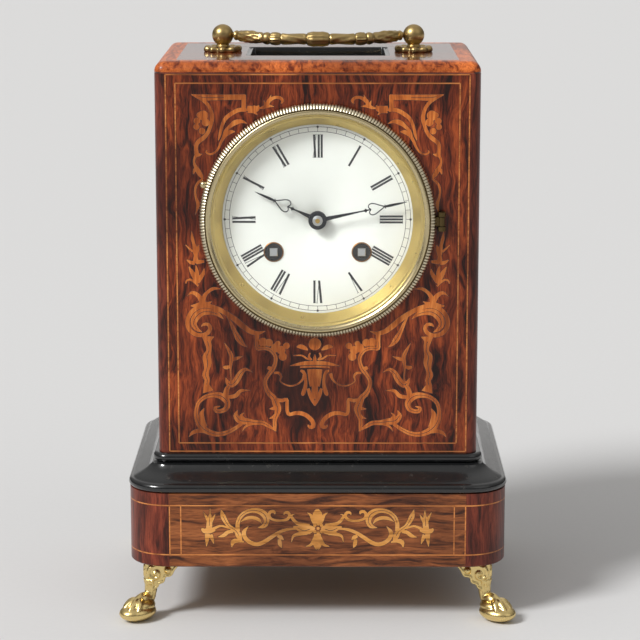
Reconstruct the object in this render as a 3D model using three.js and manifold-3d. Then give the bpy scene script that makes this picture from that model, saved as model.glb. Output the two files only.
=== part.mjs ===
// A rosewood travelling mantel clock with inlaid lines, on four brass paw feet.
// Millimetres, +Z up, the dial faces -Y. The origin is on the ground under the case's middle.
import * as THREE from 'three';
import { mergeVertices } from 'three/addons/utils/BufferGeometryUtils.js';
import Module from 'manifold-3d';

const wasm = await Module();
wasm.setup();

// ---- driving dimensions ----
const GAP = 0.3;              // clearance between pieces that only touch
const GLUE = 0.1;             // glue line between boards
const FACET = 0.01;           // faces that are flat within this are merged
const CAST_FACET = 0.12;      // the same on rough castings
const CASE_W = 145;
const CASE_D = 107;
const CASE_H = 177.9;
const EDGE_R = 4.6;           // rounding of the case's upright and top edges
const WALL = 9;
const FRONT_T = 10;
const TOP_T = 5.2;
const FOOT_H = 26.4;
const FRIEZE_H = 34.4;
const FRIEZE_T = 9;
const BASE_OUT = 13.5;        // how far the base stands proud of the case
const MOULD_H = 11.7;
const COLLAR_H = 4.1;
const COLLAR_OUT = 2.7;
const FLOOR_T = 7;
const WINDOW_W = 61;
const WINDOW_D = 42;
const GLASS_T = 2;

const DIAL_DROP = 70.9;       // dial's centre below the case's top
const BEZEL_R = 53;
const BEZEL_IN_R = 48.2;
const BEZEL_T = 6;
const PAN_R = 50;             // fixed brass pan behind the bezel
const PAN_T = 1.6;
const PAN_TUBE_R = 47.4;
const SIGHT_R = 42.6;         // inner edge of the engine-turned ring
const SURROUND_LIP = 0.6;
const DIAL_R = 43.6;
const DIAL_T = 1.6;
const DIAL_DEPTH = 4.2;       // enamel face behind the case's front
const WIND_X = 19.7;          // winding holes beside and below the dial's centre
const WIND_DROP = 14.8;
const WIND_HOLE_R = 4.1;
const GROMMET_R = 4.55;
const KEY_SQUARE = 3.5;

const MINUTE_LEN = 40.8;
const MINUTE_AT = 78.1;       // degrees clockwise from twelve, as the hands stand
const HOUR_LEN = 30.6;
const HOUR_AT = 294.4;
const HAND_T = 0.7;
const MINUTE_F = -1;          // backs of the hands and glass, in front of the case's face
const HOUR_F = -2.6;
const GLASS_F = 2.3;
const HOUR_PIPE_R = 2.6;
const CANNON_PIPE_R = 1.75;

const POST_X = 44;
const BALL_R = 5.1;
const BALL_UP = 7.4;
const ROSETTE_R = 9.15;
const ROSETTE_T = 2.7;
const ROSETTE_DISH = 0.9;     // depth of the hollow that the ball stands over
const POST_R = 1.9;
const NUT_R = 4.4;
const NUT_H = 3.4;
const BAIL_PIN_R = 1.3;
const BAIL_R = 2.6;
const BAIL_BOW = 15;
const BAIL_DROP = 2.7;        // degrees that the folded handle hangs below level

const PAW_OUT = 5;            // how far a paw reaches past the base
const PLATE_W = 76;           // movement plates
const PLATE_H = 78;
const PLATE_T = 2.2;
const PLATE_SPACE = 34;
const PLATE_BEHIND = 9;       // front plate behind the enamel dial's back
const PILLAR_R = 2.6;
const ARBOR_R = 1.1;
const RUN = 0.12;             // running clearance of an arbor in its hole
const DOOR_STILE = 16.5;      // case left standing beside the door
const DOOR_RAIL = 20.95;
const DOOR_T = 6;
const KNUCKLE_R = 2.1;
const BELL_R = 27;
const BELL_DEPTH = 15;
const BELL_WALL = 1.2;

// ---- levels that follow ----
const FRIEZE_Z = FOOT_H;
const MOULD_Z = FRIEZE_Z + FRIEZE_H;
const COLLAR_Z = MOULD_Z + MOULD_H;
const CASE_Z = COLLAR_Z + COLLAR_H;
const TOP_Z = CASE_Z + CASE_H;
const BOARD_TOP = TOP_Z - TOP_T;
const DIAL_Z = TOP_Z - DIAL_DROP;
const FRONT_Y = -CASE_D / 2;
const BACK_Y = CASE_D / 2;
const DOOR_W = CASE_W - 2 * DOOR_STILE;
const DOOR_H = CASE_H - 2 * DOOR_RAIL;
const FACE_Y = FRONT_Y + DIAL_DEPTH;
const ENAMEL_BACK = FACE_Y + DIAL_T;
const PLATE_Y = ENAMEL_BACK + PLATE_BEHIND;
const BACK_PLATE_Y = PLATE_Y + PLATE_T + PLATE_SPACE;
const BALL_Z = TOP_Z + BALL_UP;
const WIND_Z = DIAL_Z - WIND_DROP;

// ---- materials ----
const finish = (color, roughness, metalness) =>
  () => new THREE.MeshStandardMaterial({ color, roughness, metalness });
const rosewood = finish(0x6a2f1c, 0.25, 0);
const topwood = finish(0x9c5a30, 0.25, 0);
const paleWood = finish(0x8a5238, 0.3, 0);
const ebony = finish(0x1a1c1e, 0.2, 0);
const oak = finish(0x9a7a4c, 0.7, 0);
const gilt = finish(0xd6b84a, 0.3, 1);
const brass = finish(0xb0a060, 0.3, 1);
const bronze = finish(0x9a8550, 0.4, 1);
const enamel = finish(0xf4f5f0, 0.15, 0);
const blued = finish(0x16181f, 0.35, 1);
const steel = finish(0x8d8f92, 0.35, 1);
const glass = finish(0xdfe8ea, 0.05, 0);

// ---- solids ----
const clock = new THREE.Group();

function solid(geometry) {
  const plain = geometry.index ? geometry.toNonIndexed() : geometry.clone();
  plain.deleteAttribute('normal');
  plain.deleteAttribute('uv');
  const merged = mergeVertices(plain, 1e-4);
  const vertProperties = new Float32Array(merged.attributes.position.array);
  const triVerts = new Uint32Array(merged.index.array);
  const made = new wasm.Manifold(new wasm.Mesh({ numProp: 3, vertProperties, triVerts }));
  if (made.volume() > 0) return made;
  return new wasm.Manifold(new wasm.Mesh({
    numProp: 3, vertProperties, triVerts: triVerts.reverse() }));
}

function geometryOf(body) {
  const mesh = body.getMesh();
  const geometry = new THREE.BufferGeometry();
  geometry.setAttribute('position', new THREE.BufferAttribute(mesh.vertProperties, 3));
  geometry.setIndex(new THREE.BufferAttribute(mesh.triVerts, 1));
  return geometry;
}

function add(name, body, material, within = FACET) {
  const mesh = new THREE.Mesh(geometryOf(body.asOriginal().simplify(within)), material());
  mesh.name = name;
  clock.add(mesh);
  return mesh;
}

function block(x0, x1, y0, y1, z0, z1) {
  const box = new THREE.BoxGeometry(x1 - x0, y1 - y0, z1 - z0);
  return solid(box.translate((x0 + x1) / 2, (y0 + y1) / 2, (z0 + z1) / 2));
}

// A turned piece from (radius, height) points, closed on the axis, standing up +Z.
function turned(points, sides = 24) {
  return solid(new THREE.LatheGeometry(points.map(([r, z]) => new THREE.Vector2(r, z)), sides)
    .rotateX(Math.PI / 2));
}

// The same with its axis front to back: heights become distances towards +Y.
function turnedBack(points, sides = 24) {
  return turned(points, sides).rotate([-90, 0, 0]);
}

function pin(x, z, y0, y1, r, sides = 12) {
  return turnedBack([[0, y0], [r, y0], [r, y1], [0, y1]], sides).translate([x, 0, z]);
}

function upright(x, y, z0, z1, r, sides = 12) {
  return turned([[0, z0], [r, z0], [r, z1], [0, z1]], sides).translate([x, y, 0]);
}

function cross(x0, x1, y, z, r, sides = 12) {
  return turned([[0, x0], [r, x0], [r, x1], [0, x1]], sides).rotate([0, 90, 0]).translate([0, y, z]);
}

// A flat outline of (x, z) points, thickened from y0 to y1.
function plate(points, y0, y1) {
  const shape = new THREE.Shape(points.map(([x, z]) => new THREE.Vector2(x, z)));
  const body = solid(new THREE.ExtrudeGeometry(shape, { depth: y1 - y0, bevelEnabled: false }));
  return body.rotate([90, 0, 0]).translate([0, y1, 0]);
}

// Plan outline of the case grown by `out`, with rounded corners.
function planLoop(out, steps = 4) {
  const r = Math.max(EDGE_R + out, 0.5);
  const hx = CASE_W / 2 + out - r;
  const hy = CASE_D / 2 + out - r;
  const loop = [];
  for (const [sx, sy, start] of [[1, 1, 0], [-1, 1, 90], [-1, -1, 180], [1, -1, 270]]) {
    for (let i = 0; i <= steps; i++) {
      const a = THREE.MathUtils.degToRad(start + 90 * i / steps);
      loop.push([sx * hx + r * Math.cos(a), sy * hy + r * Math.sin(a)]);
    }
  }
  return loop;
}

// A moulding that runs round the case: a closed section of (out, z) points.
function moulding(section, steps) {
  const loops = section.map(([out, z]) => planLoop(out, steps).map(([x, y]) => [x, y, z]));
  const n = loops[0].length;
  const m = loops.length;
  const index = [];
  for (let i = 0; i < m; i++) {
    for (let j = 0; j < n; j++) {
      const [a, b] = [i * n + j, i * n + (j + 1) % n];
      const [c, d] = [((i + 1) % m) * n + j, ((i + 1) % m) * n + (j + 1) % n];
      index.push(a, b, d, a, d, c);
    }
  }
  const geometry = new THREE.BufferGeometry();
  geometry.setAttribute('position', new THREE.Float32BufferAttribute(loops.flat(2), 3));
  geometry.setIndex(index);
  return solid(geometry);
}

// A board that fills the plan grown by `out`, from z0 to z1.
function boardIn(out, z0, z1, steps = 4) {
  const shape = new THREE.Shape(planLoop(out, steps).map(([x, y]) => new THREE.Vector2(x, y)));
  return solid(new THREE.ExtrudeGeometry(shape, { depth: z1 - z0, bevelEnabled: false }))
    .translate([0, 0, z0]);
}

// ---- case ----
function buildCase() {
  const shell = boardIn(0, CASE_Z, BOARD_TOP - GLUE);
  const inX = CASE_W / 2 - WALL;
  const inFront = FRONT_Y + FRONT_T;
  const inBack = BACK_Y - WALL;
  const hole = pin(0, DIAL_Z, FRONT_Y - 1, inFront + 1, PAN_TUBE_R + GAP, 48);
  const far = CASE_W;
  add('case_front_panel',
    shell.intersect(block(-far, far, FRONT_Y - 1, inFront, 0, TOP_Z)).subtract(hole), rosewood);
  for (const [name, side] of [['case_left_side', -1], ['case_right_side', 1]]) {
    const [x0, x1] = side < 0 ? [-far, -inX] : [inX, far];
    add(name, shell.intersect(block(x0, x1, inFront + GLUE, inBack - GLUE, 0, TOP_Z)), rosewood);
  }
  const frame = shell.intersect(block(-far, far, inBack, BACK_Y + 1, 0, TOP_Z));
  add('case_back_frame', frame.subtract(doorBox(GAP)), rosewood);

  const roundings = 3;
  const layers = [[0, BOARD_TOP], [0, TOP_Z - EDGE_R]];
  for (let i = 1; i <= roundings; i++) {
    const a = (Math.PI / 2) * i / roundings;
    layers.push([EDGE_R * (Math.cos(a) - 1), TOP_Z - EDGE_R + EDGE_R * Math.sin(a)]);
  }
  const inner = -CASE_W / 6;
  const ring = moulding([...layers, [inner, TOP_Z], [inner, BOARD_TOP]]);
  const middle = boardIn(inner - GLUE + 1, BOARD_TOP, TOP_Z);
  const window = block(-WINDOW_W / 2, WINDOW_W / 2, -WINDOW_D / 2, WINDOW_D / 2, 0, TOP_Z + 1);
  const lipX = WINDOW_W / 2 + 7;
  const lipY = WINDOW_D / 2 + 7;
  const lining = block(-lipX, lipX, -lipY, lipY, BOARD_TOP - 5, BOARD_TOP + 1);
  let board = ring.add(middle).add(lining).subtract(window);
  for (const side of [-1, 1]) {
    board = board.subtract(upright(side * POST_X, 0, BOARD_TOP - 1, TOP_Z + 1, POST_R + GAP));
  }
  const rebate = 2.5;
  const seat = BOARD_TOP - 5 + GLASS_T + GAP;
  board = board.subtract(block(-WINDOW_W / 2 - rebate, WINDOW_W / 2 + rebate,
    -WINDOW_D / 2 - rebate, WINDOW_D / 2 + rebate, 0, seat));
  add('case_top_board', board, topwood);
  add('top_window_glass', block(-WINDOW_W / 2 - rebate + GAP, WINDOW_W / 2 + rebate - GAP,
    -WINDOW_D / 2 - rebate + GAP, WINDOW_D / 2 + rebate - GAP,
    seat - GAP - GLASS_T, seat - GAP), glass);
}

function doorBox(grow) {
  const z = (CASE_Z + BOARD_TOP) / 2;
  return block(-DOOR_W / 2 - grow, DOOR_W / 2 + grow, BACK_Y - WALL - 1, BACK_Y + 2,
    z - DOOR_H / 2 - grow, z + DOOR_H / 2 + grow);
}

// ---- plinth ----
function buildPlinth() {
  const inner = -WALL - 1;
  const collarMid = COLLAR_Z + COLLAR_H / 2;
  const bead = [];
  for (let i = 0; i <= 4; i++) {
    const a = -Math.PI / 2 + Math.PI * i / 4;
    bead.push([0.6 + (COLLAR_OUT - 0.6) * Math.cos(a), collarMid + COLLAR_H / 2 * Math.sin(a)]);
  }
  const lip = MOULD_H * 0.3;
  add('plinth_moulding', moulding([
    [inner, MOULD_Z], [BASE_OUT - 1, MOULD_Z], [BASE_OUT + 0.6, MOULD_Z + lip * 0.4],
    [BASE_OUT + 0.6, MOULD_Z + lip], [BASE_OUT - 1.4, MOULD_Z + lip * 1.6],
    [COLLAR_OUT + 4, COLLAR_Z - 1.6], [COLLAR_OUT, COLLAR_Z - 1.1], [COLLAR_OUT - 0.6, COLLAR_Z - 0.4],
    ...bead, [inner, CASE_Z],
  ]), ebony);
  const friezeIn = BASE_OUT - FRIEZE_T;
  add('plinth_frieze', moulding([[friezeIn, FRIEZE_Z], [BASE_OUT, FRIEZE_Z],
    [BASE_OUT, MOULD_Z], [friezeIn, MOULD_Z]]), paleWood);
  add('plinth_base_board', boardIn(friezeIn - GAP, FRIEZE_Z, FRIEZE_Z + FLOOR_T), oak);
  add('case_floor_board', boardIn(inner - GAP, COLLAR_Z - FLOOR_T, COLLAR_Z, 2), oak);
}

// ---- feet ----
// A scrolled bracket under the base's corner, bowing out to a lion's paw. Made for the corner
// towards +u, then turned to each corner.
function footBody() {
  const centreline = new THREE.CatmullRomCurve3([
    new THREE.Vector3(-9, 0, FOOT_H - 5), new THREE.Vector3(-2.5, 0, FOOT_H - 9),
    new THREE.Vector3(0.5, 0, 13), new THREE.Vector3(1.5, 0, 7.5)]);
  const round = new THREE.Shape();
  round.absarc(0, 0, 4.2, 0, Math.PI * 2);
  const leg = solid(new THREE.ExtrudeGeometry(round,
    { steps: 6, curveSegments: 4, bevelEnabled: false, extrudePath: centreline }));
  const top = FOOT_H - GAP;
  const flange = block(-18, -3.5, -9, 9, top - 2, top);
  const knee = solid(new THREE.SphereGeometry(6.4, 8, 5).scale(1.15, 1.3, 0.9)
    .translate(-5.5, 0, FOOT_H - 6.6));
  const slab = block(-30, 30, -30, 30, 0, top);
  let paw = solid(new THREE.SphereGeometry(7.6, 10, 6).scale(1.1, 1.05, 0.72)
    .translate(3, 0, 4.6));
  const toes = 4;
  for (let i = 0; i < toes; i++) {
    const a = THREE.MathUtils.degToRad(-54 + 108 * i / (toes - 1));
    paw = paw.add(solid(new THREE.SphereGeometry(3.1, 7, 4).scale(1.25, 1, 1).rotateZ(a)
      .translate(3 + 6.4 * Math.cos(a), 6.6 * Math.sin(a), 3.3)));
  }
  return leg.add(flange).add(knee).add(paw).asOriginal().simplify(CAST_FACET).intersect(slab);
}

function buildFeet() {
  const reach = 12.35;
  const turn = 45;
  const foot = footBody();
  const hx = CASE_W / 2 + BASE_OUT + PAW_OUT - reach;
  const hy = CASE_D / 2 + BASE_OUT + PAW_OUT - reach;
  const corners = [['front_left_foot', -1, -1, 180 + turn], ['front_right_foot', 1, -1, -turn],
    ['rear_left_foot', -1, 1, 180 - turn], ['rear_right_foot', 1, 1, turn]];
  for (const [name, sx, sy, angle] of corners) {
    add(name, foot.rotate([0, 0, angle]).translate([sx * hx, sy * hy, 0]), gilt);
  }
}

// ---- handle ----
function buildHandle() {
  const pinIn = 3.4;
  for (const [word, side] of [['left', -1], ['right', 1]]) {
    const x = side * POST_X;
    const bore = upright(x, 0, TOP_Z - 1, TOP_Z + 9, POST_R + GAP);
    const rosette = rosetteBody().translate([x, 0, TOP_Z + GLUE]);
    add(`handle_rosette_${word}`, rosette.subtract(bore), gilt);

    const ball = solid(new THREE.SphereGeometry(BALL_R, 12, 8).translate(x, 0, BALL_Z));
    const seat = TOP_Z + ROSETTE_T - ROSETTE_DISH + GAP;
    const neck = turned([[0, BOARD_TOP - 6], [POST_R, BOARD_TOP - 6], [POST_R, seat],
      [3.4, seat], [3, seat + 1], [3, BALL_Z], [0, BALL_Z]], 12).translate([x, 0, 0]);
    const inner = x - side * BALL_R;
    const depth = inner + side * (pinIn + GAP);
    const socket = cross(Math.min(depth, inner - side * 2), Math.max(depth, inner - side * 2),
      0, BALL_Z, BAIL_PIN_R + RUN, 12);
    add(`handle_post_${word}`, ball.add(neck).subtract(socket), gilt);
    const nutTop = BOARD_TOP - GAP;
    add(`handle_nut_${word}`, upright(x, 0, nutTop - NUT_H, nutTop, NUT_R, 6)
      .subtract(upright(x, 0, nutTop - NUT_H - 1, nutTop + 1, POST_R + RUN, 12)), brass);
  }
  add('handle_bail', bailBody(pinIn), bronze, CAST_FACET / 2);
}

// A ten-lobed disc, hollowed in the middle.
function rosetteBody() {
  const petals = 10;
  const shape = new THREE.Shape();
  for (let i = 0; i <= petals * 4; i++) {
    const a = 2 * Math.PI * i / (petals * 4);
    const reach = ROSETTE_R * (0.93 - 0.07 * Math.cos(petals * a));
    shape[i ? 'lineTo' : 'moveTo'](reach * Math.cos(a), reach * Math.sin(a));
  }
  const lobes = solid(new THREE.ExtrudeGeometry(shape,
    { depth: ROSETTE_T - GLUE, bevelEnabled: false }));
  return lobes.subtract(upright(0, 0, ROSETTE_T - ROSETTE_DISH, ROSETTE_T + 1, BALL_R + GAP, 20));
}

// The bail lies forward at rest: pins in the balls, two cast arms and a turned middle bar.
function bailBody(pinIn) {
  const end = POST_X - BALL_R - GAP;
  const place = (body) => body.rotate([BAIL_DROP, 0, 0]).translate([0, 0, BALL_Z]);
  const bow = new THREE.CatmullRomCurve3([
    [-end, -0.4], [-end + 4, -4], [-end + 11, -9.5], [-20, -BAIL_BOW + 1.2], [-8, -BAIL_BOW],
    [8, -BAIL_BOW], [20, -BAIL_BOW + 1.2], [end - 11, -9.5], [end - 4, -4], [end, -0.4],
  ].map(([x, y]) => new THREE.Vector3(x, y, 0)));
  const round = new THREE.Shape();
  round.absarc(0, 0, BAIL_R, 0, Math.PI * 2);
  let bail = solid(new THREE.ExtrudeGeometry(round,
    { steps: 16, curveSegments: 3, bevelEnabled: false, extrudePath: bow }));
  const beads = [[17.6, 3.1, 1.6], [21.4, 3.1, 1.2], [31, 3.3, 6.2]];
  for (const side of [-1, 1]) {
    for (const [x, r, half] of beads) {
      const t = bow.getPoint(nearest(bow, side * x));
      bail = bail.add(solid(new THREE.SphereGeometry(1, 8, 4).rotateZ(Math.PI / 2).scale(half, r, r)
        .translate(t.x, t.y, 0)));
    }
  }
  bail = bail.intersect(block(-end, end, -2 * BAIL_BOW, 2 * BAIL_BOW, -BAIL_BOW, BAIL_BOW));
  bail = bail.add(cross(-end - GAP - pinIn, -end + 1, 0, 0, BAIL_PIN_R, 12))
    .add(cross(end - 1, end + GAP + pinIn, 0, 0, BAIL_PIN_R, 12));
  bail = bail.add(turned([[0, -4.9], [2.9, -4.9], [3.4, -2], [3.4, 2], [2.9, 4.9],
    [0, 4.9]], 8).rotate([0, 90, 0]).translate([0, -BAIL_BOW, 0]));
  return place(bail);
}

function nearest(curve, x) {
  let best = 0;
  const steps = 200;
  for (let i = 0; i <= steps; i++) {
    if (Math.abs(curve.getPoint(i / steps).x - x) < Math.abs(curve.getPoint(best).x - x)) {
      best = i / steps;
    }
  }
  return best;
}

// ---- dial and bezel; `f` is how far a point lies in front of the case ----
function ringIn(profile, sides = 32) {
  return turnedBack(profile.map(([r, f]) => [r, FRONT_Y - f]), sides).translate([0, 0, DIAL_Z]);
}

const HINGE_X = BEZEL_R + 2.4;
const HINGE_F = 2.4;
const KNUCKLE = 2;            // half the height of the bezel's own knuckle

function buildDial() {
  const tubeIn = PAN_TUBE_R - 1;
  const backLip = -DIAL_DEPTH - DIAL_T - GAP;
  const loop = (points) => [...points, points[0]];
  const flange = PAN_T + GLUE;
  add('dial_pan', ringIn(loop([[PAN_R - GAP, GLUE], [PAN_R - GAP, flange], [tubeIn, flange],
    [tubeIn, backLip], [DIAL_R - 6, backLip], [DIAL_R - 6, backLip - 1.2],
    [PAN_TUBE_R, backLip - 1.2], [PAN_TUBE_R, GLUE]])), brass);
  const floor = -DIAL_DEPTH + GAP;
  add('dial_surround', ringIn(loop([[SIGHT_R, floor], [tubeIn - GAP - SURROUND_LIP, flange],
    [tubeIn - GAP, flange], [tubeIn - GAP, floor]])), brass);

  let dial = ringIn([[0, -DIAL_DEPTH - DIAL_T], [DIAL_R, -DIAL_DEPTH - DIAL_T],
    [DIAL_R, -DIAL_DEPTH - 0.4], [DIAL_R - 0.6, -DIAL_DEPTH], [0, -DIAL_DEPTH]]);
  dial = dial.subtract(pin(0, DIAL_Z, FRONT_Y, FRONT_Y + 20, HOUR_PIPE_R + 0.4, 12));
  for (const side of [-1, 1]) {
    dial = dial.subtract(pin(side * WIND_X, WIND_Z, FRONT_Y, FRONT_Y + 20, WIND_HOLE_R + GAP, 16));
  }
  add('enamel_dial', dial, enamel);
  for (const [word, side] of [['left', -1], ['right', 1]]) {
    const rim = turnedBack(loop([[WIND_HOLE_R - 0.3, FACE_Y - 0.6], [GROMMET_R, FACE_Y - 0.3],
      [GROMMET_R, FACE_Y - GLUE], [WIND_HOLE_R + GLUE, FACE_Y - GLUE],
      [WIND_HOLE_R + GLUE, ENAMEL_BACK], [WIND_HOLE_R - 0.3, ENAMEL_BACK]]), 16);
    add(`winding_grommet_${word}`, rim.translate([side * WIND_X, 0, WIND_Z]), brass);
  }

  let ring = ringIn(loop([[PAN_R + GAP, GAP], [BEZEL_R - 0.6, GAP], [BEZEL_R, BEZEL_T * 0.24],
    [BEZEL_R, BEZEL_T * 0.57], [BEZEL_R - 1.4, BEZEL_T * 0.82], [PAN_R, BEZEL_T * 0.85],
    [BEZEL_IN_R - 0.3, BEZEL_T * 0.75],
    [BEZEL_IN_R - 0.3, GLASS_F + GLASS_T + GAP], [BEZEL_IN_R + 0.8, GLASS_F + GLASS_T + GAP],
    [BEZEL_IN_R + 0.8, GLASS_F - GLUE], [PAN_R + GAP, GLASS_F - GLUE]]));
  const nubAt = THREE.MathUtils.degToRad(162);
  ring = ring.add(solid(new THREE.SphereGeometry(1.7, 10, 8).translate(
    (BEZEL_R + 0.4) * Math.cos(nubAt), FRONT_Y - BEZEL_T * 0.4,
    DIAL_Z + (BEZEL_R + 0.4) * Math.sin(nubAt))));
  const y = FRONT_Y - HINGE_F;
  const knuckle = upright(HINGE_X, y, DIAL_Z - KNUCKLE, DIAL_Z + KNUCKLE, 1.4, 16)
    .add(block(BEZEL_R - 1, HINGE_X, y - 0.6, y + 0.6, DIAL_Z - KNUCKLE, DIAL_Z + KNUCKLE))
    .subtract(upright(HINGE_X, y, DIAL_Z - KNUCKLE - 1, DIAL_Z + KNUCKLE + 1, 0.7 + RUN, 16));
  add('bezel_ring', ring.add(knuckle), brass);
  add('bezel_glass', ringIn([[0, GLASS_F], [BEZEL_IN_R + 0.5, GLASS_F],
    [BEZEL_IN_R + 0.5, GLASS_F + GLASS_T], [0, GLASS_F + GLASS_T]]), glass);
  const reach = 2 * KNUCKLE + GAP;
  let hinge = block(HINGE_X - 1.3, HINGE_X + 1.4, FRONT_Y - 0.8, FRONT_Y - GLUE,
    DIAL_Z - reach, DIAL_Z + reach).add(upright(HINGE_X, y, DIAL_Z - reach, DIAL_Z + reach, 0.7, 16));
  for (const z of [DIAL_Z - reach, DIAL_Z + KNUCKLE + GAP]) {
    hinge = hinge.add(upright(HINGE_X, y, z, z + KNUCKLE, 1.8, 16));
  }
  add('bezel_hinge', hinge, brass);
}

// ---- hands ----
// A blued hand pointing up: a hub, a stem with a cross bead, an open heart and a dagger tip.
// The bead's and heart's places and sizes are shares of the hand's length.
function handBody(long, beadShare, heartShare, longShare, wideShare, hubHole, f) {
  const beadAt = long * beadShare;
  const heart = long * heartShare;
  const heartLong = long * longShare;
  const heartWide = long * wideShare;
  const stem = 0.75;
  const outline = [[-stem, 3.6], [-stem * 0.8, beadAt - 1], [-1.7, beadAt], [-stem * 0.8, beadAt + 1],
    [-0.6, heart], [-heartWide / 2, heart + heartLong * 0.12],
    [-heartWide / 2, heart + heartLong * 0.42], [-0.9, heart + heartLong],
    [-1.9, heart + heartLong + 1.2], [-0.8, heart + heartLong + 2.2], [-1.1, heart + heartLong + 4],
    [0, long]];
  const mirrored = outline.slice(0, -1).reverse().map(([x, z]) => [-x, z]);
  const y = FRONT_Y - f;
  const blade = plate([...outline, ...mirrored], y - HAND_T, y);
  const inside = 0.9;
  const eye = plate([[0, heart + heartLong - inside * 1.6],
    [-heartWide / 2 + inside, heart + heartLong * 0.4],
    [-heartWide / 2 + inside, heart + heartLong * 0.2], [0, heart + heartLong * 0.3],
    [heartWide / 2 - inside, heart + heartLong * 0.2],
    [heartWide / 2 - inside, heart + heartLong * 0.4]], y - 2, y + 1);
  const hub = pin(0, 0, y - HAND_T, y, 4.1, 16);
  const hole = pin(0, 0, y - 3, y + 1, hubHole, 12);
  return hub.add(blade).subtract(eye).subtract(hole);
}

function buildHands() {
  const place = (body, angle) => body.rotate([0, angle, 0]).translate([0, 0, DIAL_Z]);
  add('minute_hand', place(handBody(MINUTE_LEN, 0.537, 0.588, 0.16, 0.137,
    CANNON_PIPE_R + GLUE, MINUTE_F), MINUTE_AT), blued);
  add('hour_hand', place(handBody(HOUR_LEN, 0.405, 0.458, 0.18, 0.196,
    HOUR_PIPE_R + GLUE, HOUR_F), HOUR_AT), blued);
  const nut = [[ARBOR_R + GLUE, MINUTE_F + HAND_T + GLUE], [2.2, MINUTE_F + HAND_T + GLUE],
    [1.8, MINUTE_F + HAND_T + 1], [ARBOR_R + GLUE, MINUTE_F + HAND_T + 1]];
  add('hand_nut', ringIn([...nut, nut[0]], 12), brass);
}

// ---- movement: places are [x, z] from the dial's centre, levels are from the front plate ----
const BARREL_TEETH = 40;
const BARREL_M = 0.82;
const SECOND_PINION = 8;
const SECOND_TEETH = 40;
const SECOND_M = 0.68;
const CENTRE_PINION = 8;
const CENTRE_TEETH = 48;
const CENTRE_M = 0.52;
const THIRD_PINION = 6;
const THIRD_TEETH = 45;
const THIRD_M = 0.46;
const CONTRATE_PINION = 6;
const FLY_PINION = 8;
const CANNON_TEETH = 8;
const MINUTE_TEETH = 24;
const MINUTE_PINION = 8;
const HOUR_TEETH = 32;
const MOTION_M = 0.6;
const CONTRATE_R = 8.6;
const SLACK = 0.1;            // added to each pair's centre distance

const inside = PLATE_Y + PLATE_T;
const pitchR = (teeth, m) => teeth * m / 2;
const apart = (a, b, m) => pitchR(a, m) + pitchR(b, m) + SLACK;
const bearing = ([ax, az], [bx, bz]) => Math.atan2(bz - az, bx - ax);

// The place that lies ra from a and rb from b, on the given side of the line a to b.
function meetAt(a, ra, b, rb, side) {
  const d = Math.hypot(b[0] - a[0], b[1] - a[1]);
  const along = (ra * ra - rb * rb + d * d) / (2 * d);
  const off = side * Math.sqrt(ra * ra - along * along);
  const [ux, uz] = [(b[0] - a[0]) / d, (b[1] - a[1]) / d];
  return [a[0] + along * ux - off * uz, a[1] + along * uz + off * ux];
}

const CENTRE = [0, 0];
const GOING = [-WIND_X, -WIND_DROP];
const STRIKE = [WIND_X, -WIND_DROP];
const SECOND = meetAt(GOING, apart(BARREL_TEETH, SECOND_PINION, BARREL_M), CENTRE,
  apart(SECOND_TEETH, CENTRE_PINION, SECOND_M), 1);
const PIN_WHEEL = [-SECOND[0], SECOND[1]];
const THIRD = [0, apart(CENTRE_TEETH, THIRD_PINION, CENTRE_M)];
const CONTRATE = [0, THIRD[1] + apart(THIRD_TEETH, CONTRATE_PINION, THIRD_M)];
const FLY = [PIN_WHEEL[0] + 6, PIN_WHEEL[1] + Math.sqrt(
  apart(SECOND_TEETH, FLY_PINION, SECOND_M) ** 2 - 36)];
const MINUTE_WHEEL = [0, -apart(CANNON_TEETH, MINUTE_TEETH, MOTION_M)];
const HOUR_M = 2 * (-MINUTE_WHEEL[1] - SLACK) / (MINUTE_PINION + HOUR_TEETH);
const HAMMER = [31.5, -24];
const BELL = [0, 7];

// Teeth as a zigzag rim. A tooth stands at the bearing `toward`, or a gap does.
function gear([x, z], teeth, m, y0, y1, toward, gap = false) {
  const r = pitchR(teeth, m);
  const points = [];
  for (let i = 0; i < teeth * 2; i++) {
    const a = toward + Math.PI * (i + (gap ? 1 : 0)) / teeth;
    const reach = i % 2 ? r - 1.2 * m : r + 0.7 * m;
    points.push([x + reach * Math.cos(a), z + reach * Math.sin(a)]);
  }
  return plate(points, y0, y1).translate([0, 0, DIAL_Z]);
}

const shaft = ([x, z], y0, y1, r, sides = 8) => pin(x, DIAL_Z + z, y0, y1, r, sides);

function windows([x, z], from, to, arms, y0, y1) {
  const cuts = [];
  for (let i = 0; i < arms; i++) {
    const a0 = 2 * Math.PI * i / arms + 0.2;
    const a1 = 2 * Math.PI * (i + 1) / arms - 0.2;
    const points = [];
    for (let k = 0; k <= 2; k++) {
      const a = a0 + (a1 - a0) * k / 2;
      points.push([x + to * Math.cos(a), z + to * Math.sin(a)]);
    }
    points.push([x + from * Math.cos((a0 + a1) / 2), z + from * Math.sin((a0 + a1) / 2)]);
    cuts.push(plate(points, y0 - 1, y1 + 1).translate([0, 0, DIAL_Z]));
  }
  return wasm.Manifold.union(cuts);
}

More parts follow.
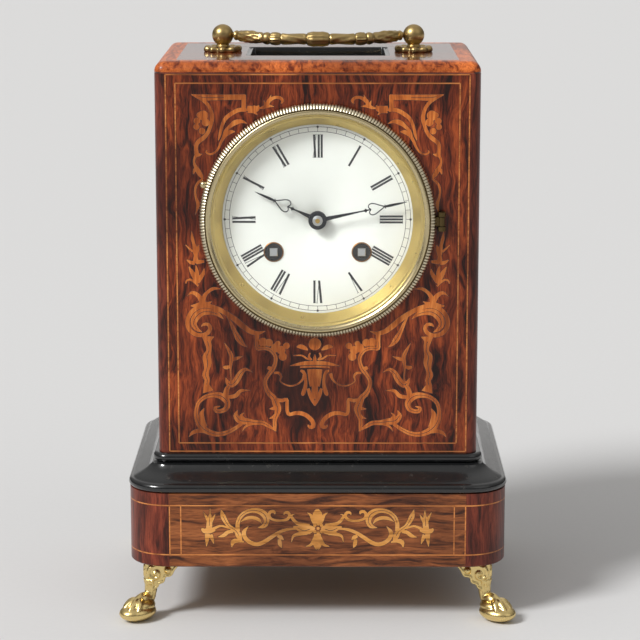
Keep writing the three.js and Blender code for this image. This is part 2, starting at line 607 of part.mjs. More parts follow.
function buildPlates() {
  const low = -42;
  const x = PLATE_W / 2;
  const pivots = [SECOND, PIN_WHEEL, THIRD, CONTRATE, FLY, CENTRE];
  const hole = (at, r) => shaft(at, PLATE_Y - 30, BACK_PLATE_Y + PLATE_T + 5, r);
  const drilled = (body, extra) => {
    let out = body;
    for (const at of [...pivots, ...extra]) out = out.subtract(hole(at, ARBOR_R + RUN));
    for (const at of [GOING, STRIKE]) out = out.subtract(hole(at, WIND_ARBOR_R + RUN * 2));
    return out;
  };
  const slab = (y0) => block(-x, x, y0, y0 + PLATE_T, DIAL_Z + low, DIAL_Z + low + PLATE_H);
  const corner = [x - 5, low + 5, low + PLATE_H - 5];
  let back = slab(BACK_PLATE_Y);
  let front = slab(PLATE_Y);
  for (const sx of [-1, 1]) {
    for (const z of corner.slice(1)) {
      const at = [sx * corner[0], z];
      back = back.add(shaft(at, inside + GLUE, BACK_PLATE_Y + 1, PILLAR_R))
        .add(shaft(at, PLATE_Y - 1, inside + 1, PILLAR_R / 2));
      front = front.subtract(hole(at, PILLAR_R / 2 + RUN));
    }
  }
  add('movement_front_plate', drilled(front, [MINUTE_WHEEL]), brass);
  add('movement_pillar_plate', drilled(back, [HAMMER]), brass);
  const legX = CASE_W / 2 - WALL - BRACKET_FOOT - 3 * GAP;
  for (const [word, s] of [['left', -1], ['right', 1]]) {
    const back0 = FRONT_Y + FRONT_T;
    const span = (x0, x1, y0, y1) => block(Math.min(s * x0, s * x1), Math.max(s * x0, s * x1),
      y0, y1, DIAL_Z - 6, DIAL_Z + 6);
    const t = BRACKET_T;
    add(`movement_bracket_${word}`, span(legX, legX + BRACKET_FOOT, back0 + GAP, back0 + GAP + t)
      .add(span(legX, legX + t, back0 + GAP, PLATE_Y - GAP))
      .add(span(PLATE_W / 2 - BRACKET_LAP, legX + t, PLATE_Y - GAP - t, PLATE_Y - GAP)), brass);
  }
}

const BRACKET_T = 1.6;
const BRACKET_FOOT = 11;
const BRACKET_LAP = 6;        // how far a bracket laps the movement's front plate
const WIND_ARBOR_R = 2.7;
const GEAR_LEVEL = 3;
const SECOND_LEVEL = 29;
const PIN_LEVEL = 31.6;       // the strike pin wheel runs behind the centre pinion, clear of it
const PIN_LEN = 2;
const PIN_R = 0.5;
const PINS_AT = 11.9;
const VANE_W = 12;
const VANE_T = 0.8;

function buildPower() {
  const top = inside + GEAR_LEVEL;
  const drumBack = top + 24;
  for (const [word, at, other] of [['going', GOING, SECOND], ['strike', STRIKE, PIN_WHEEL]]) {
    const drumR = pitchR(BARREL_TEETH, BARREL_M) - 1.4;
    let barrel = gear(at, BARREL_TEETH, BARREL_M, top, top + 2, bearing(at, other))
      .add(shaft(at, top + 1, drumBack, drumR, 24));
    barrel = barrel.subtract(shaft(at, top - 1, drumBack + 1, WIND_ARBOR_R + RUN * 2, 16));
    add(`${word}_barrel`, barrel, brass);
    const [x, z] = at;
    const tip = FACE_Y + 0.8;
    const half = KEY_SQUARE / 2;
    const square = block(x - half, x + half, tip, PLATE_Y, DIAL_Z + z - half, DIAL_Z + z + half);
    add(`${word}_winding_arbor`, square.add(shaft(at, PLATE_Y - 2, BACK_PLATE_Y + PLATE_T + 1.5,
      WIND_ARBOR_R, 16)), steel);
  }
}

function arbor(at, y0 = PLATE_Y + 0.4, y1 = BACK_PLATE_Y + PLATE_T - 0.4) {
  return shaft(at, y0, y1, ARBOR_R);
}

function wheelAt(at, teeth, m, y0, toward, arms) {
  const rim = pitchR(teeth, m) - 2.6;
  const disc = gear(at, teeth, m, y0, y0 + 1.2, toward);
  return disc.subtract(windows(at, 3, rim, arms, y0, y0 + 1.2));
}

function buildGoingTrain() {
  const second = inside + SECOND_LEVEL;
  const level = inside + GEAR_LEVEL;
  add('second_wheel', wheelAt(SECOND, SECOND_TEETH, SECOND_M, second, bearing(SECOND, CENTRE), 5)
    .add(gear(SECOND, SECOND_PINION, BARREL_M, level - 0.6, level + 2.6, bearing(SECOND, GOING), true))
    .add(arbor(SECOND)), brass);
  const centreBack = BACK_PLATE_Y + PLATE_T - 0.4;
  add('centre_wheel', wheelAt(CENTRE, CENTRE_TEETH, CENTRE_M, inside + 0.9,
    bearing(CENTRE, THIRD), 5)
    .add(gear(CENTRE, CENTRE_PINION, SECOND_M, second - 0.7, second + 1.9,
      bearing(CENTRE, SECOND), true))
    .add(arbor(CENTRE, FRONT_Y - MINUTE_F - HAND_T - 1.2, centreBack)), brass);
  const third = inside + 6;
  add('third_wheel', wheelAt(THIRD, THIRD_TEETH, THIRD_M, third, bearing(THIRD, CONTRATE), 4)
    .add(gear(THIRD, THIRD_PINION, CENTRE_M, inside + 0.5, inside + 2.6,
      bearing(THIRD, CENTRE), true)).add(arbor(THIRD)), brass);
  const rim = inside + 14;
  const crown = crownWheel(rim);
  add('contrate_wheel', crown.add(gear(CONTRATE, CONTRATE_PINION, THIRD_M, third - 0.5,
    third + 1.8, bearing(CONTRATE, THIRD), true)).add(arbor(CONTRATE)), brass);
}

// A crown wheel: a disc with crossings and a rim of teeth that point backwards.
function crownWheel(y0) {
  const [x, z] = CONTRATE;
  const disc = shaft(CONTRATE, y0, y0 + 1, CONTRATE_R, 24);
  const wall = shaft(CONTRATE, y0, y0 + 2.6, CONTRATE_R, 24)
    .subtract(shaft(CONTRATE, y0 - 1, y0 + 4, CONTRATE_R - 1, 24));
  let crown = disc.add(wall).subtract(windows(CONTRATE, 2.6, CONTRATE_R - 2, 4, y0, y0 + 1));
  const teeth = 10;
  for (let i = 0; i < teeth; i++) {
    const notch = block(CONTRATE_R - 2, CONTRATE_R + 1, y0 + 1.7, y0 + 4, -0.5, 0.5)
      .rotate([0, 360 * i / teeth, 0]).translate([x, 0, DIAL_Z + z]);
    crown = crown.subtract(notch);
  }
  return crown;
}

function buildMotionWork() {
  const y0 = PLATE_Y - 2.4;
  const cannon = gear(CENTRE, CANNON_TEETH, MOTION_M, y0, y0 + 2, bearing(CENTRE, MINUTE_WHEEL))
    .add(shaft(CENTRE, FRONT_Y - MINUTE_F - HAND_T, y0 + 1, CANNON_PIPE_R, 16))
    .subtract(shaft(CENTRE, FRONT_Y - 10, PLATE_Y + 5, ARBOR_R + RUN, 16));
  add('cannon_pinion', cannon, steel);
  add('minute_wheel', gear(MINUTE_WHEEL, MINUTE_TEETH, MOTION_M, y0 + 0.4, y0 + 1.6,
    bearing(MINUTE_WHEEL, CENTRE), true)
    .add(gear(MINUTE_WHEEL, MINUTE_PINION, HOUR_M, y0 - 2.2, y0 + 1, bearing(MINUTE_WHEEL, CENTRE)))
    .add(shaft(MINUTE_WHEEL, y0 - 2.6, PLATE_Y + PLATE_T - 0.3, ARBOR_R)), brass);
  const hourY = y0 - 1.8;
  add('hour_wheel', gear(CENTRE, HOUR_TEETH, HOUR_M, hourY, hourY + 1.2,
    bearing(CENTRE, MINUTE_WHEEL), true)
    .add(shaft(CENTRE, FRONT_Y - HOUR_F - HAND_T, hourY + 1, HOUR_PIPE_R, 16))
    .subtract(shaft(CENTRE, FRONT_Y - 10, PLATE_Y + 5, CANNON_PIPE_R + 0.2, 16)), brass);
}

function buildPlatform() {
  const z0 = DIAL_Z - 42 + PLATE_H + GAP;
  const z1 = z0 + 2;
  const axisY = inside + 14 + 2.6 + 1.7;
  const balanceY = axisY + 12;
  const hole = (y, r) => upright(0, y, z0 - 2, z1 + 20, r, 12);
  const base = block(-17, 17, PLATE_Y, BACK_PLATE_Y + PLATE_T, z0, z1)
    .subtract(hole(axisY, 2)).subtract(hole(balanceY, 1 + RUN));
  const post = block(10.5, 15.5, balanceY - 4, balanceY + 4, z1 - 0.5, z1 + 12);
  add('platform_plate', base.add(post), brass);
  const escapeZ = z1 + 2;
  const teeth = 15;
  const points = [];
  for (let i = 0; i < teeth; i++) {
    const a = 2 * Math.PI * i / teeth;
    points.push([4.6 * Math.cos(a), 4.6 * Math.sin(a)], [3.5 * Math.cos(a + 0.1), 3.5 * Math.sin(a + 0.1)]);
  }
  const escape = plate(points, 0, 0.7).rotate([90, 0, 0]).translate([0, axisY, escapeZ])
    .add(upright(0, axisY, z0 - 5.4, escapeZ + 1.6, 0.55, 8))
    .add(upright(0, axisY, z0 - 5, z0 - 1.5, 1.3, 8));
  add('escape_wheel', escape, brass);
  const top = z1 + 12 + GAP;
  const cock = block(-3, 15.5, balanceY - 3, balanceY + 3, top, top + 2)
    .subtract(upright(0, balanceY, top - 1, top + 5, 0.6 + RUN, 12));
  add('balance_cock', cock, brass);
  const balanceZ = z1 + 7;
  const rim = upright(0, balanceY, balanceZ, balanceZ + 1.2, 9, 28)
    .subtract(upright(0, balanceY, balanceZ - 1, balanceZ + 2, 7.8, 28))
    .add(block(-8.4, 8.4, balanceY - 0.8, balanceY + 0.8, balanceZ, balanceZ + 1.2))
    .add(upright(0, balanceY, z0 + 0.4, top + 1.6, 0.6, 8));
  add('balance_wheel', rim, brass);
}

function buildStrike() {
  const second = inside + PIN_LEVEL;
  const level = inside + GEAR_LEVEL;
  let wheel = wheelAt(PIN_WHEEL, SECOND_TEETH, SECOND_M, second, bearing(PIN_WHEEL, FLY), 5)
    .add(gear(PIN_WHEEL, SECOND_PINION, BARREL_M, level - 0.6, level + 2.6,
      bearing(PIN_WHEEL, STRIKE), true)).add(arbor(PIN_WHEEL));
  const pins = 8;
  for (let i = 0; i < pins; i++) {
    const a = 2 * Math.PI * i / pins;
    const at = [PIN_WHEEL[0] + PINS_AT * Math.cos(a), PIN_WHEEL[1] + PINS_AT * Math.sin(a)];
    wheel = wheel.add(shaft(at, second - PIN_LEN, second + 0.5, PIN_R, 4));
  }
  add('strike_pin_wheel', wheel, brass);
  const vane = block(FLY[0] - VANE_W / 2, FLY[0] + VANE_W / 2, inside + 8, inside + 20,
    DIAL_Z + FLY[1] - VANE_T / 2, DIAL_Z + FLY[1] + VANE_T / 2);
  add('strike_fly', gear(FLY, FLY_PINION, SECOND_M, second - 0.7, second + 1.9,
    bearing(FLY, PIN_WHEEL), true).add(arbor(FLY)).add(vane), brass);

  const bellFront = BACK_PLATE_Y + PLATE_T + 5;
  const outer = [[BELL_R, 0], [BELL_R - 0.6, 4], [BELL_R - 4, 9.5], [BELL_R - 12, 13.6],
    [3, BELL_DEPTH]];
  const innerSkin = outer.slice(0, -1).reverse().map(([r, d]) => [r - BELL_WALL, Math.max(0, d - BELL_WALL)]);
  const bell = turnedBack([...outer, [3, BELL_DEPTH - BELL_WALL], ...innerSkin, outer[0]], 24)
    .translate([BELL[0], bellFront, DIAL_Z + BELL[1]]);
  add('bell', bell, bronze);
  const standBack = bellFront + BELL_DEPTH;
  add('bell_stand', shaft(BELL, BACK_PLATE_Y + PLATE_T + GAP, standBack + 2, 2, 12)
    .add(shaft(BELL, BACK_PLATE_Y + PLATE_T + GAP, BACK_PLATE_Y + PLATE_T + 2, 3.4, 12))
    .add(shaft(BELL, standBack - BELL_WALL - GAP - 2, standBack - BELL_WALL - GAP, 4.4, 12))
    .add(shaft(BELL, standBack + GAP, standBack + 2.4, 4.4, 6)), steel);

  const headR = 3.2;
  const headX = BELL_R + headR + 0.8;
  const y = bellFront + 2;
  const headAt = DIAL_Z + BELL[1];
  const arm = block(HAMMER[0] - 0.9, HAMMER[0] + 0.9, y - 0.7, y + 0.7, DIAL_Z + HAMMER[1], headAt);
  add('strike_hammer', arm.add(arbor(HAMMER, BACK_PLATE_Y + 0.4, y + 1.5))
    .add(shaft(HAMMER, y - 1.2, y + 1.2, 2.4, 12))
    .add(solid(new THREE.SphereGeometry(headR, 12, 8).translate(headX, y, headAt))), steel);
}

// ---- back door ----
const DOOR_AXIS_X = DOOR_W / 2 + 0.3;
const DOOR_AXIS_Y = BACK_Y + KNUCKLE_R + GAP;
const DOOR_Z = (CASE_Z + BOARD_TOP) / 2;

function buildBackDoor() {
  let door = block(-DOOR_W / 2, DOOR_W / 2, BACK_Y - DOOR_T, BACK_Y,
    DOOR_Z - DOOR_H / 2, DOOR_Z + DOOR_H / 2);
  const ax = DOOR_AXIS_X;
  const ay = DOOR_AXIS_Y;
  for (const [word, z] of [['lower', DOOR_Z - DOOR_H / 3], ['upper', DOOR_Z + DOOR_H / 3]]) {
    const half = 5;
    door = door.add(block(ax - 9, ax - 0.8, BACK_Y - 0.5, BACK_Y + 1.1, z - half, z + half))
      .add(block(ax - 1, ax, BACK_Y + GAP, BACK_Y + 1.1, z - half, z + half))
      .add(upright(ax, ay, z - half, z + half, KNUCKLE_R, 16))
      .subtract(upright(ax, ay, z - half - 1, z + half + 1, 1 + RUN, 16));
    let hinge = upright(ax, ay, z - half - 6, z + half + 6, 1, 16);
    for (const z0 of [z - half - 6, z + half + GAP]) {
      hinge = hinge.add(upright(ax, ay, z0, z0 + 6 - GAP, KNUCKLE_R, 16))
        .add(block(ax, ax + 9, BACK_Y + GLUE, BACK_Y + 1.1, z0, z0 + 6 - GAP));
    }
    add(`back_door_hinge_${word}`, hinge, brass);
  }
  add('back_door', door, rosewood);
  const knob = [[0, GLUE], [4.6, GLUE], [4.6, 1.2], [1.8, 2], [2, 4.4], [4, 6], [4, 8], [2, 9.4],
    [0, 9.4]];
  add('back_door_knob', turnedBack(knob, 16).translate([-DOOR_W / 2 + 9, BACK_Y, DOOR_Z]), brass);
}

buildCase();
buildPlinth();
buildFeet();
buildHandle();
buildDial();
buildHands();
buildPlates();
buildPower();
buildGoingTrain();
buildMotionWork();
buildPlatform();
buildStrike();
buildBackDoor();

export default clock;
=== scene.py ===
"""A travelling mantel clock of inlaid rosewood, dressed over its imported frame."""
import math

import bmesh
import bpy
from bpy.props import FloatProperty, IntProperty, PointerProperty, StringProperty
from mathutils import Matrix, Vector


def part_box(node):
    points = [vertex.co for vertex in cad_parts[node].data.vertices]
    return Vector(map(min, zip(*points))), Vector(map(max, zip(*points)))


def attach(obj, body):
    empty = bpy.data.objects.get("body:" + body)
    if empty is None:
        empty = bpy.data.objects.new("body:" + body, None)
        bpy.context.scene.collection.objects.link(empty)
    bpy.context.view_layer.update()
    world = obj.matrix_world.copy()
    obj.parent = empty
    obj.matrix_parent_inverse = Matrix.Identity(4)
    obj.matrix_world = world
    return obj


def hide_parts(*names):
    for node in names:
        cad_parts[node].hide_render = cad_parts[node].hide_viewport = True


bl_info = {
    "name": "Inlaid mantel clock",
    "version": (1, 0, 0),
    "blender": (4, 5, 0),
    "location": "3D View > Sidebar > Clock",
    "description": "Builds the finished looks of an inlaid rosewood mantel clock",
    "category": "Object",
}

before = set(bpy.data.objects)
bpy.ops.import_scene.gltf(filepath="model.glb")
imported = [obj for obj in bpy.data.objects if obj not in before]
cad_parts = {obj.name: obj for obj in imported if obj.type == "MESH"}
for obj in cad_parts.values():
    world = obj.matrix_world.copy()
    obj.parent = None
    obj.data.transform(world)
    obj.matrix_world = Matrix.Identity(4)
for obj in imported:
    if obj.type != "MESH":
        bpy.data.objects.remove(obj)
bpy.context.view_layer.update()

MM = 0.001


def place(node):
    """A node's box in millimetres."""
    low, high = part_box(node)
    return [v / MM for v in low], [v / MM for v in high]


# ---- places that come from the frame, in millimetres ----
FRONT_LOW, FRONT_HIGH = place("case_front_panel")
MOULD_LOW, MOULD_HIGH = place("plinth_moulding")
FRIEZE_LOW, FRIEZE_HIGH = place("plinth_frieze")
DIAL_LOW, DIAL_HIGH = place("enamel_dial")
GROMMET_LOW, GROMMET_HIGH = place("winding_grommet_right")
POST_LOW, POST_HIGH = place("handle_post_right")
WINDOW_LOW, WINDOW_HIGH = place("top_window_glass")

HALF_W = FRONT_HIGH[0]
HALF_D = place("case_back_frame")[1][1]
FRONT_Y = FRONT_LOW[1]
FRONT_BACK = FRONT_HIGH[1]
TOP_Z = place("case_top_board")[1][2]
FOOT_TOP = place("front_right_foot")[1][2]
CASE_Z = FRONT_LOW[2]
SEAM_Z = FRONT_HIGH[2]
BASE_OUT = FRIEZE_HIGH[0] - HALF_W
DIAL_Z = (DIAL_LOW[2] + DIAL_HIGH[2]) / 2
DIAL_R = (DIAL_HIGH[0] - DIAL_LOW[0]) / 2
WIND_X = (GROMMET_LOW[0] + GROMMET_HIGH[0]) / 2
WIND_Z = (GROMMET_LOW[2] + GROMMET_HIGH[2]) / 2
POST_X = (POST_LOW[0] + POST_HIGH[0]) / 2
BALL_R = (POST_HIGH[0] - POST_LOW[0]) / 2
BALL_Z = POST_HIGH[2] - BALL_R

EDGE_R = 4.6                # rounding of the case's upright and top edges


# ---- sizes and colours a user would change ----
def length(name, about, default):
    return FloatProperty(name=name, description=about, default=default, unit="LENGTH")


def colour(name, about, text):
    return StringProperty(name=name, description=about, default=text)


class ClockSizes(bpy.types.PropertyGroup):
    """Sizes of the fine work, in metres."""
    line_width: length("Line width", "Width of the light wood stringing", 0.55 * MM)
    line_outer: length("Outer line", "Outer line of the front, from the middle", 67.4 * MM)
    line_inner: length("Inner line", "Inner line of the front, from the middle", 63.1 * MM)
    inlay_proud: length("Inlay height", "How far the inlay stands over the veneer", 0.03 * MM)
    kerf: length("Saw kerf", "Dark line round each inlaid piece", 0.16 * MM)
    rib_count: IntProperty(name="Bezel ribs", description="Ribs round the bezel", default=240)
    bezel_outer: length("Bezel radius", "Outer radius of the ribbed rim", 53 * MM)
    sight: length("Sight radius", "Inner edge of the engine-turned ring", 42.6 * MM)
    numeral_outer: length("Numeral radius", "Outer end of the numerals", 38.0 * MM)
    numeral_inner: length("Numeral foot", "Inner end of the numerals", 27.8 * MM)
    minute_outer: length("Minute circle", "Outer circle of the minute track", 41.5 * MM)
    minute_inner: length("Inner circle", "Inner circle of the minute track", 39.4 * MM)


class ClockColours(bpy.types.PropertyGroup):
    """Colours as sRGB hex."""
    rosewood_light: colour("Rosewood light", "Light figure of the front veneer", "a8532a")
    rosewood_mid: colour("Rosewood", "Body colour of the front veneer", "6c2d17")
    rosewood_dark: colour("Rosewood dark", "Dark streaks of the front veneer", "260f0b")
    plinth_light: colour("Plinth light", "Light figure of the plinth veneer", "a4683f")
    plinth_mid: colour("Plinth", "Body colour of the plinth veneer", "7a4829")
    plinth_dark: colour("Plinth dark", "Dark streaks of the plinth veneer", "3a2016")
    band_light: colour("Banding light", "Crossbanding of the top edge", "d98044")
    band_mid: colour("Banding", "Body colour of the crossbanding", "bb6532")
    ebony: colour("Ebonised", "Black polished mouldings", "141516")
    inlay: colour("Inlay", "Satinwood of the front inlay", "d58d4a")
    inlay_pale: colour("Pale inlay", "Boxwood of the plinth inlay", "dba968")
    line: colour("Stringing", "Light wood lines", "d2945a")
    gilt: colour("Gilt", "Lacquered cast brass", "e9cf8e")
    bezel: colour("Bezel", "Turned brass of the bezel", "d8bd72")
    bronze: colour("Handle", "Aged brass of the handle", "b39a68")
    enamel: colour("Enamel", "White dial enamel", "eaebe5")
    ink: colour("Numerals", "Black dial enamel", "1c1c20")
    blued: colour("Hands", "Blued steel", "23262c")


def sizes():
    return bpy.context.scene.clock_sizes


def colours():
    return bpy.context.scene.clock_colours


def linear(text, alpha=1.0):
    """An sRGB hex colour as linear RGBA."""
    parts = [int(text[i:i + 2], 16) / 255 for i in (0, 2, 4)]
    return [c / 12.92 if c <= 0.04045 else ((c + 0.055) / 1.055) ** 2.4 for c in parts] + [alpha]


# ---- materials ----
def add_node(tree, kind, inputs=None, stops=None, **settings):
    """One node with its settings; an input is a value or another node's socket."""
    made = tree.nodes.new(kind)
    for name, value in settings.items():
        setattr(made, name, value)
    for key, value in (inputs or {}).items():
        socket = made.inputs[key]
        if isinstance(value, bpy.types.NodeSocket):
            tree.links.new(value, socket)
        else:
            socket.default_value = value
    if stops:
        points = made.color_ramp.elements
        while len(points) < len(stops):
            points.new(0.5)
        for point, (where, shade) in zip(points, stops):
            point.position = where
            point.color = shade
    return made


class Paint:
    """A material in the making, with the steps that every recipe uses."""

    def __init__(self, name):
        self.made = bpy.data.materials.new(name)
        self.made.use_nodes = True
        self.tree = self.made.node_tree
        self.tree.nodes.clear()
        self.surface = self.node("ShaderNodeOutputMaterial").inputs["Surface"]
        self.where = self.node("ShaderNodeTexCoord").outputs["Object"]

    def node(self, kind, inputs=None, **settings):
        return add_node(self.tree, kind, inputs, **settings)

    def noise(self, scale, detail=2.0, vector=None, output="Fac", **more):
        """Cloudy noise; scale is lumps to the metre."""
        inputs = {"Vector": self.where if vector is None else vector, "Scale": scale,
                  "Detail": detail, **more}
        return self.node("ShaderNodeTexNoise", inputs).outputs[output]

    def stretched(self, vector, scale):
        return self.node("ShaderNodeMapping",
                         {"Vector": vector, "Scale": scale}).outputs["Vector"]

    def mix(self, share, first, second, blend="MIX"):
        return self.node("ShaderNodeMixRGB", {"Fac": share, "Color1": first, "Color2": second},
                         blend_type=blend).outputs["Color"]

    def ramp(self, value, *stops):
        return self.node("ShaderNodeValToRGB", {"Fac": value}, stops=stops).outputs["Color"]

    def span(self, value, low, high, first, last):
        """A value between low and high, brought to between first and last."""
        return self.node("ShaderNodeMapRange", {"Value": value, "From Min": low, "From Max": high,
                                                "To Min": first, "To Max": last}).outputs["Result"]

    def aim(self, kind, first, second=None, output="Vector"):
        """One step of arithmetic on vectors."""
        inputs = {0: first} if second is None else {0: first, 1: second}
        return self.node("ShaderNodeVectorMath", inputs, operation=kind).outputs[output]

    def bump(self, height, strength, distance):
        """Fine relief; distance is its height in metres."""
        return self.node("ShaderNodeBump", {"Height": height, "Strength": strength,
                                            "Distance": distance}).outputs["Normal"]

    def end(self, shader):
        """The finished material, with that shader over its whole surface."""
        self.tree.links.new(shader, self.surface)
        return self.made

    def skin(self, **inputs):
        """The finished material, from the plain inputs of one shader."""
        inputs = {key.replace("_", " "): value for key, value in inputs.items()}
        return self.end(self.node("ShaderNodeBsdfPrincipled", inputs).outputs["BSDF"])


def wood(name, light, mid, dark, grain, figure=1.0, roughness=0.34, coat=0.12, pores=1.0,
         knot=None):
    """French-polished veneer: flowing dark streaks, open pores and a soft, thin shine.

    grain is the axis that the fibres follow, 0, 1 or 2.
    """
    paint = Paint(name)
    swirl = paint.noise(38.0, output="Color")
    moved = paint.mix(0.010 * figure, paint.where, swirl, "ADD")
    streaks = [1 / 0.0030] * 3                     # figure 3 mm wide and 32 mm long
    streaks[grain] = 1 / 0.032
    bands = paint.noise(1.0, 5.0, paint.stretched(moved, streaks), Roughness=0.62,
                        Distortion=0.7)
    fibres = [1 / 0.0005] * 3                      # pores half a millimetre wide, 7 mm long
    fibres[grain] = 1 / 0.007
    fibre = paint.noise(1.0, 3.0, paint.stretched(paint.where, fibres), Roughness=0.7)
    shade = paint.ramp(bands, (0.36, linear(dark)), (0.50, linear(mid)), (0.70, linear(light)))
    streak = paint.ramp(fibre, (0.36, linear(dark)), (0.52, (1, 1, 1, 1)))
    lined = paint.mix(0.62 * pores, shade, streak, "MULTIPLY")
    patches = paint.ramp(paint.noise(24.0), (0.34, (0.50, 0.40, 0.38, 1)),
                         (0.60, (1.22, 1.08, 0.92, 1)))
    toned = paint.mix(1.0, lined, patches, "MULTIPLY")
    if knot:
        middle, size = knot
        away = paint.aim("LENGTH", paint.aim("DIVIDE", paint.aim("SUBTRACT", moved, middle), size),
                         output="Value")
        toned = paint.mix(paint.span(away, 0.75, 1.15, 0.85, 0.0), toned, linear(dark))
    return paint.skin(Base_Color=toned, Roughness=roughness, IOR=1.33, Coat_Weight=coat,
                      Coat_Roughness=0.08, Normal=paint.bump(fibre, 0.12, 0.00008))


def ebonised(name, shade):
    """Black-stained pear wood under shellac: a deep gloss, dulled in spots by rubbing and dust."""
    paint = Paint(name)
    rubbed = paint.noise(260.0, 4.0, Roughness=0.7)
    specks = paint.ramp(rubbed, (0.0, linear(shade)), (0.62, linear(shade)),
                        (0.80, linear("3a3733")))
    return paint.skin(Base_Color=specks, Roughness=paint.span(rubbed, 0.3, 0.8, 0.10, 0.34),
                      IOR=1.5, Coat_Weight=0.5, Coat_Roughness=0.06,
                      Normal=paint.bump(rubbed, 0.10, 0.0001))


def metal(name, shade, roughness=0.28, cast=0.0, grime_and_shade=0.5, grain=900.0, dark="3a2c12"):
    """Brass or steel: bright where hands rub it, and darker in the hollows, from grime and from
    painted shade.

    cast is how pitted the skin is, from 0, turned, to 1, sand-cast.
    """
    paint = Paint(name)
    stain = paint.noise(180.0, 4.0)
    # grime and painted shade: the colour goes toward the dark tone in the hollows, where shade
    # would fall
    depth = paint.node("ShaderNodeNewGeometry").outputs["Pointiness"]
    hollow = paint.span(depth, 0.42, 0.50, grime_and_shade, 0.0)
    spread = paint.node("ShaderNodeMath", {0: hollow, 1: stain}, operation="MULTIPLY")
    return paint.skin(
        Base_Color=paint.mix(spread.outputs["Value"], linear(shade), linear(dark)), Metallic=1.0,
        Roughness=paint.span(stain, 0.0, 1.0, roughness * 0.7, roughness * 1.35),
        Normal=paint.bump(paint.noise(grain, 3.0), 0.08 + 0.5 * cast, 0.0002))


def fired_enamel(name, shade, roughness=0.12):
    """Vitreous enamel: a smooth glassy skin with a faint unevenness from the kiln."""
    paint = Paint(name)
    cloud = paint.noise(45.0, 3.0)
    duller = [c * 0.94 for c in linear(shade)[:3]] + [1]
    return paint.skin(Base_Color=paint.mix(cloud, linear(shade), duller), Roughness=roughness,
                      IOR=1.5, Normal=paint.bump(cloud, 0.05, 0.0003))


def clear_glass(name):
    """Polished glass: clear, with a sharp shine, and it lets the lamps through."""
    paint = Paint(name)
    sheer = paint.node("ShaderNodeBsdfTransparent", {"Color": (0.97, 0.985, 0.98, 1)})
    solid = paint.node("ShaderNodeBsdfPrincipled",
                       {"Base Color": (0.98, 0.99, 0.985, 1), "Roughness": 0.02, "IOR": 1.45,
                        "Transmission Weight": 1.0})
    shadow = paint.node("ShaderNodeLightPath").outputs["Is Shadow Ray"]
    both = paint.node("ShaderNodeMixShader", {0: shadow, 1: solid.outputs["BSDF"],
                                              2: sheer.outputs["BSDF"]})
    return paint.end(both.outputs["Shader"])


def wooden(key, c):
    """The woods. Each starts from a veneer that such a case is made of, under French polish."""
    rosewood = (c.rosewood_light, c.rosewood_mid, c.rosewood_dark)
    plinth = (c.plinth_light, c.plinth_mid, c.plinth_dark)
    dark_knot = ((0, FRONT_Y * MM, 0.113), (0.0125, 1.0, 0.021))
    recipes = {
        # red-brown with bold black streaks, and a dark patch of heartwood behind the urn
        "rosewood": ("rosewood_veneer_polished", *rosewood, 2, 1.3, 0.34, 0.12, 1.0, dark_knot),
        # plainer and darker than the front, so the sides stand back
        "rosewood_side": ("rosewood_side_polished", "8a3f28", "55221a", c.rosewood_dark, 2, 0.8),
        # redder upright grain that marks the rounded corners off from the flats
        "corner_wood": ("rosewood_corner_polished", "84402e", "632c20", "3a1a14", 2, 0.8, 0.34,
                        0.12, 0.8),
        # yellower and paler, with its grain lying along the plinth
        "plinth_wood": ("rosewood_plinth_polished", *plinth, 0, 0.7, 0.34, 0.12, 0.8),
        "plinth_wood_side": ("rosewood_plinth_side_polished", *plinth, 1, 0.7, 0.34, 0.12, 0.8),
        # the same wood under a thick coat that mirrors the room along the top
        "top_wood": ("rosewood_top_polished", *rosewood, 0, 0.8, 0.26, 0.9),
        # orange-brown short grain that runs across the edge
        "banding": ("crossbanding_polished", c.band_light, c.band_mid, c.rosewood_mid, 1, 0.5,
                    0.34, 0.12, 0.7),
        # warm honey wood, close-grained, so that the scrolls read as smooth
        "inlay": ("satinwood_inlay_polished", c.inlay, "b8692f", "8a4a22", 2, 0.5, 0.34, 0.12,
                  0.45),
        # paler and yellower than the front's inlay
        "inlay_pale": ("boxwood_inlay_polished", c.inlay_pale, "c9924c", "8f6230", 0, 0.5, 0.34,
                       0.12, 0.4),
        # thin light lines, toned by old polish
        "line": ("boxwood_line_polished", c.line, "c07f48", "8a5632", 0, 0.4, 0.34, 0.12, 0.4),
        # pale, dull and bare, as the inside of a case is left
        "oak": ("oak_carcass_planed", "b08c58", "94703f", "6a4c28", 0, 0.5, 0.6, 0.0),
    }
    return recipes.get(key)


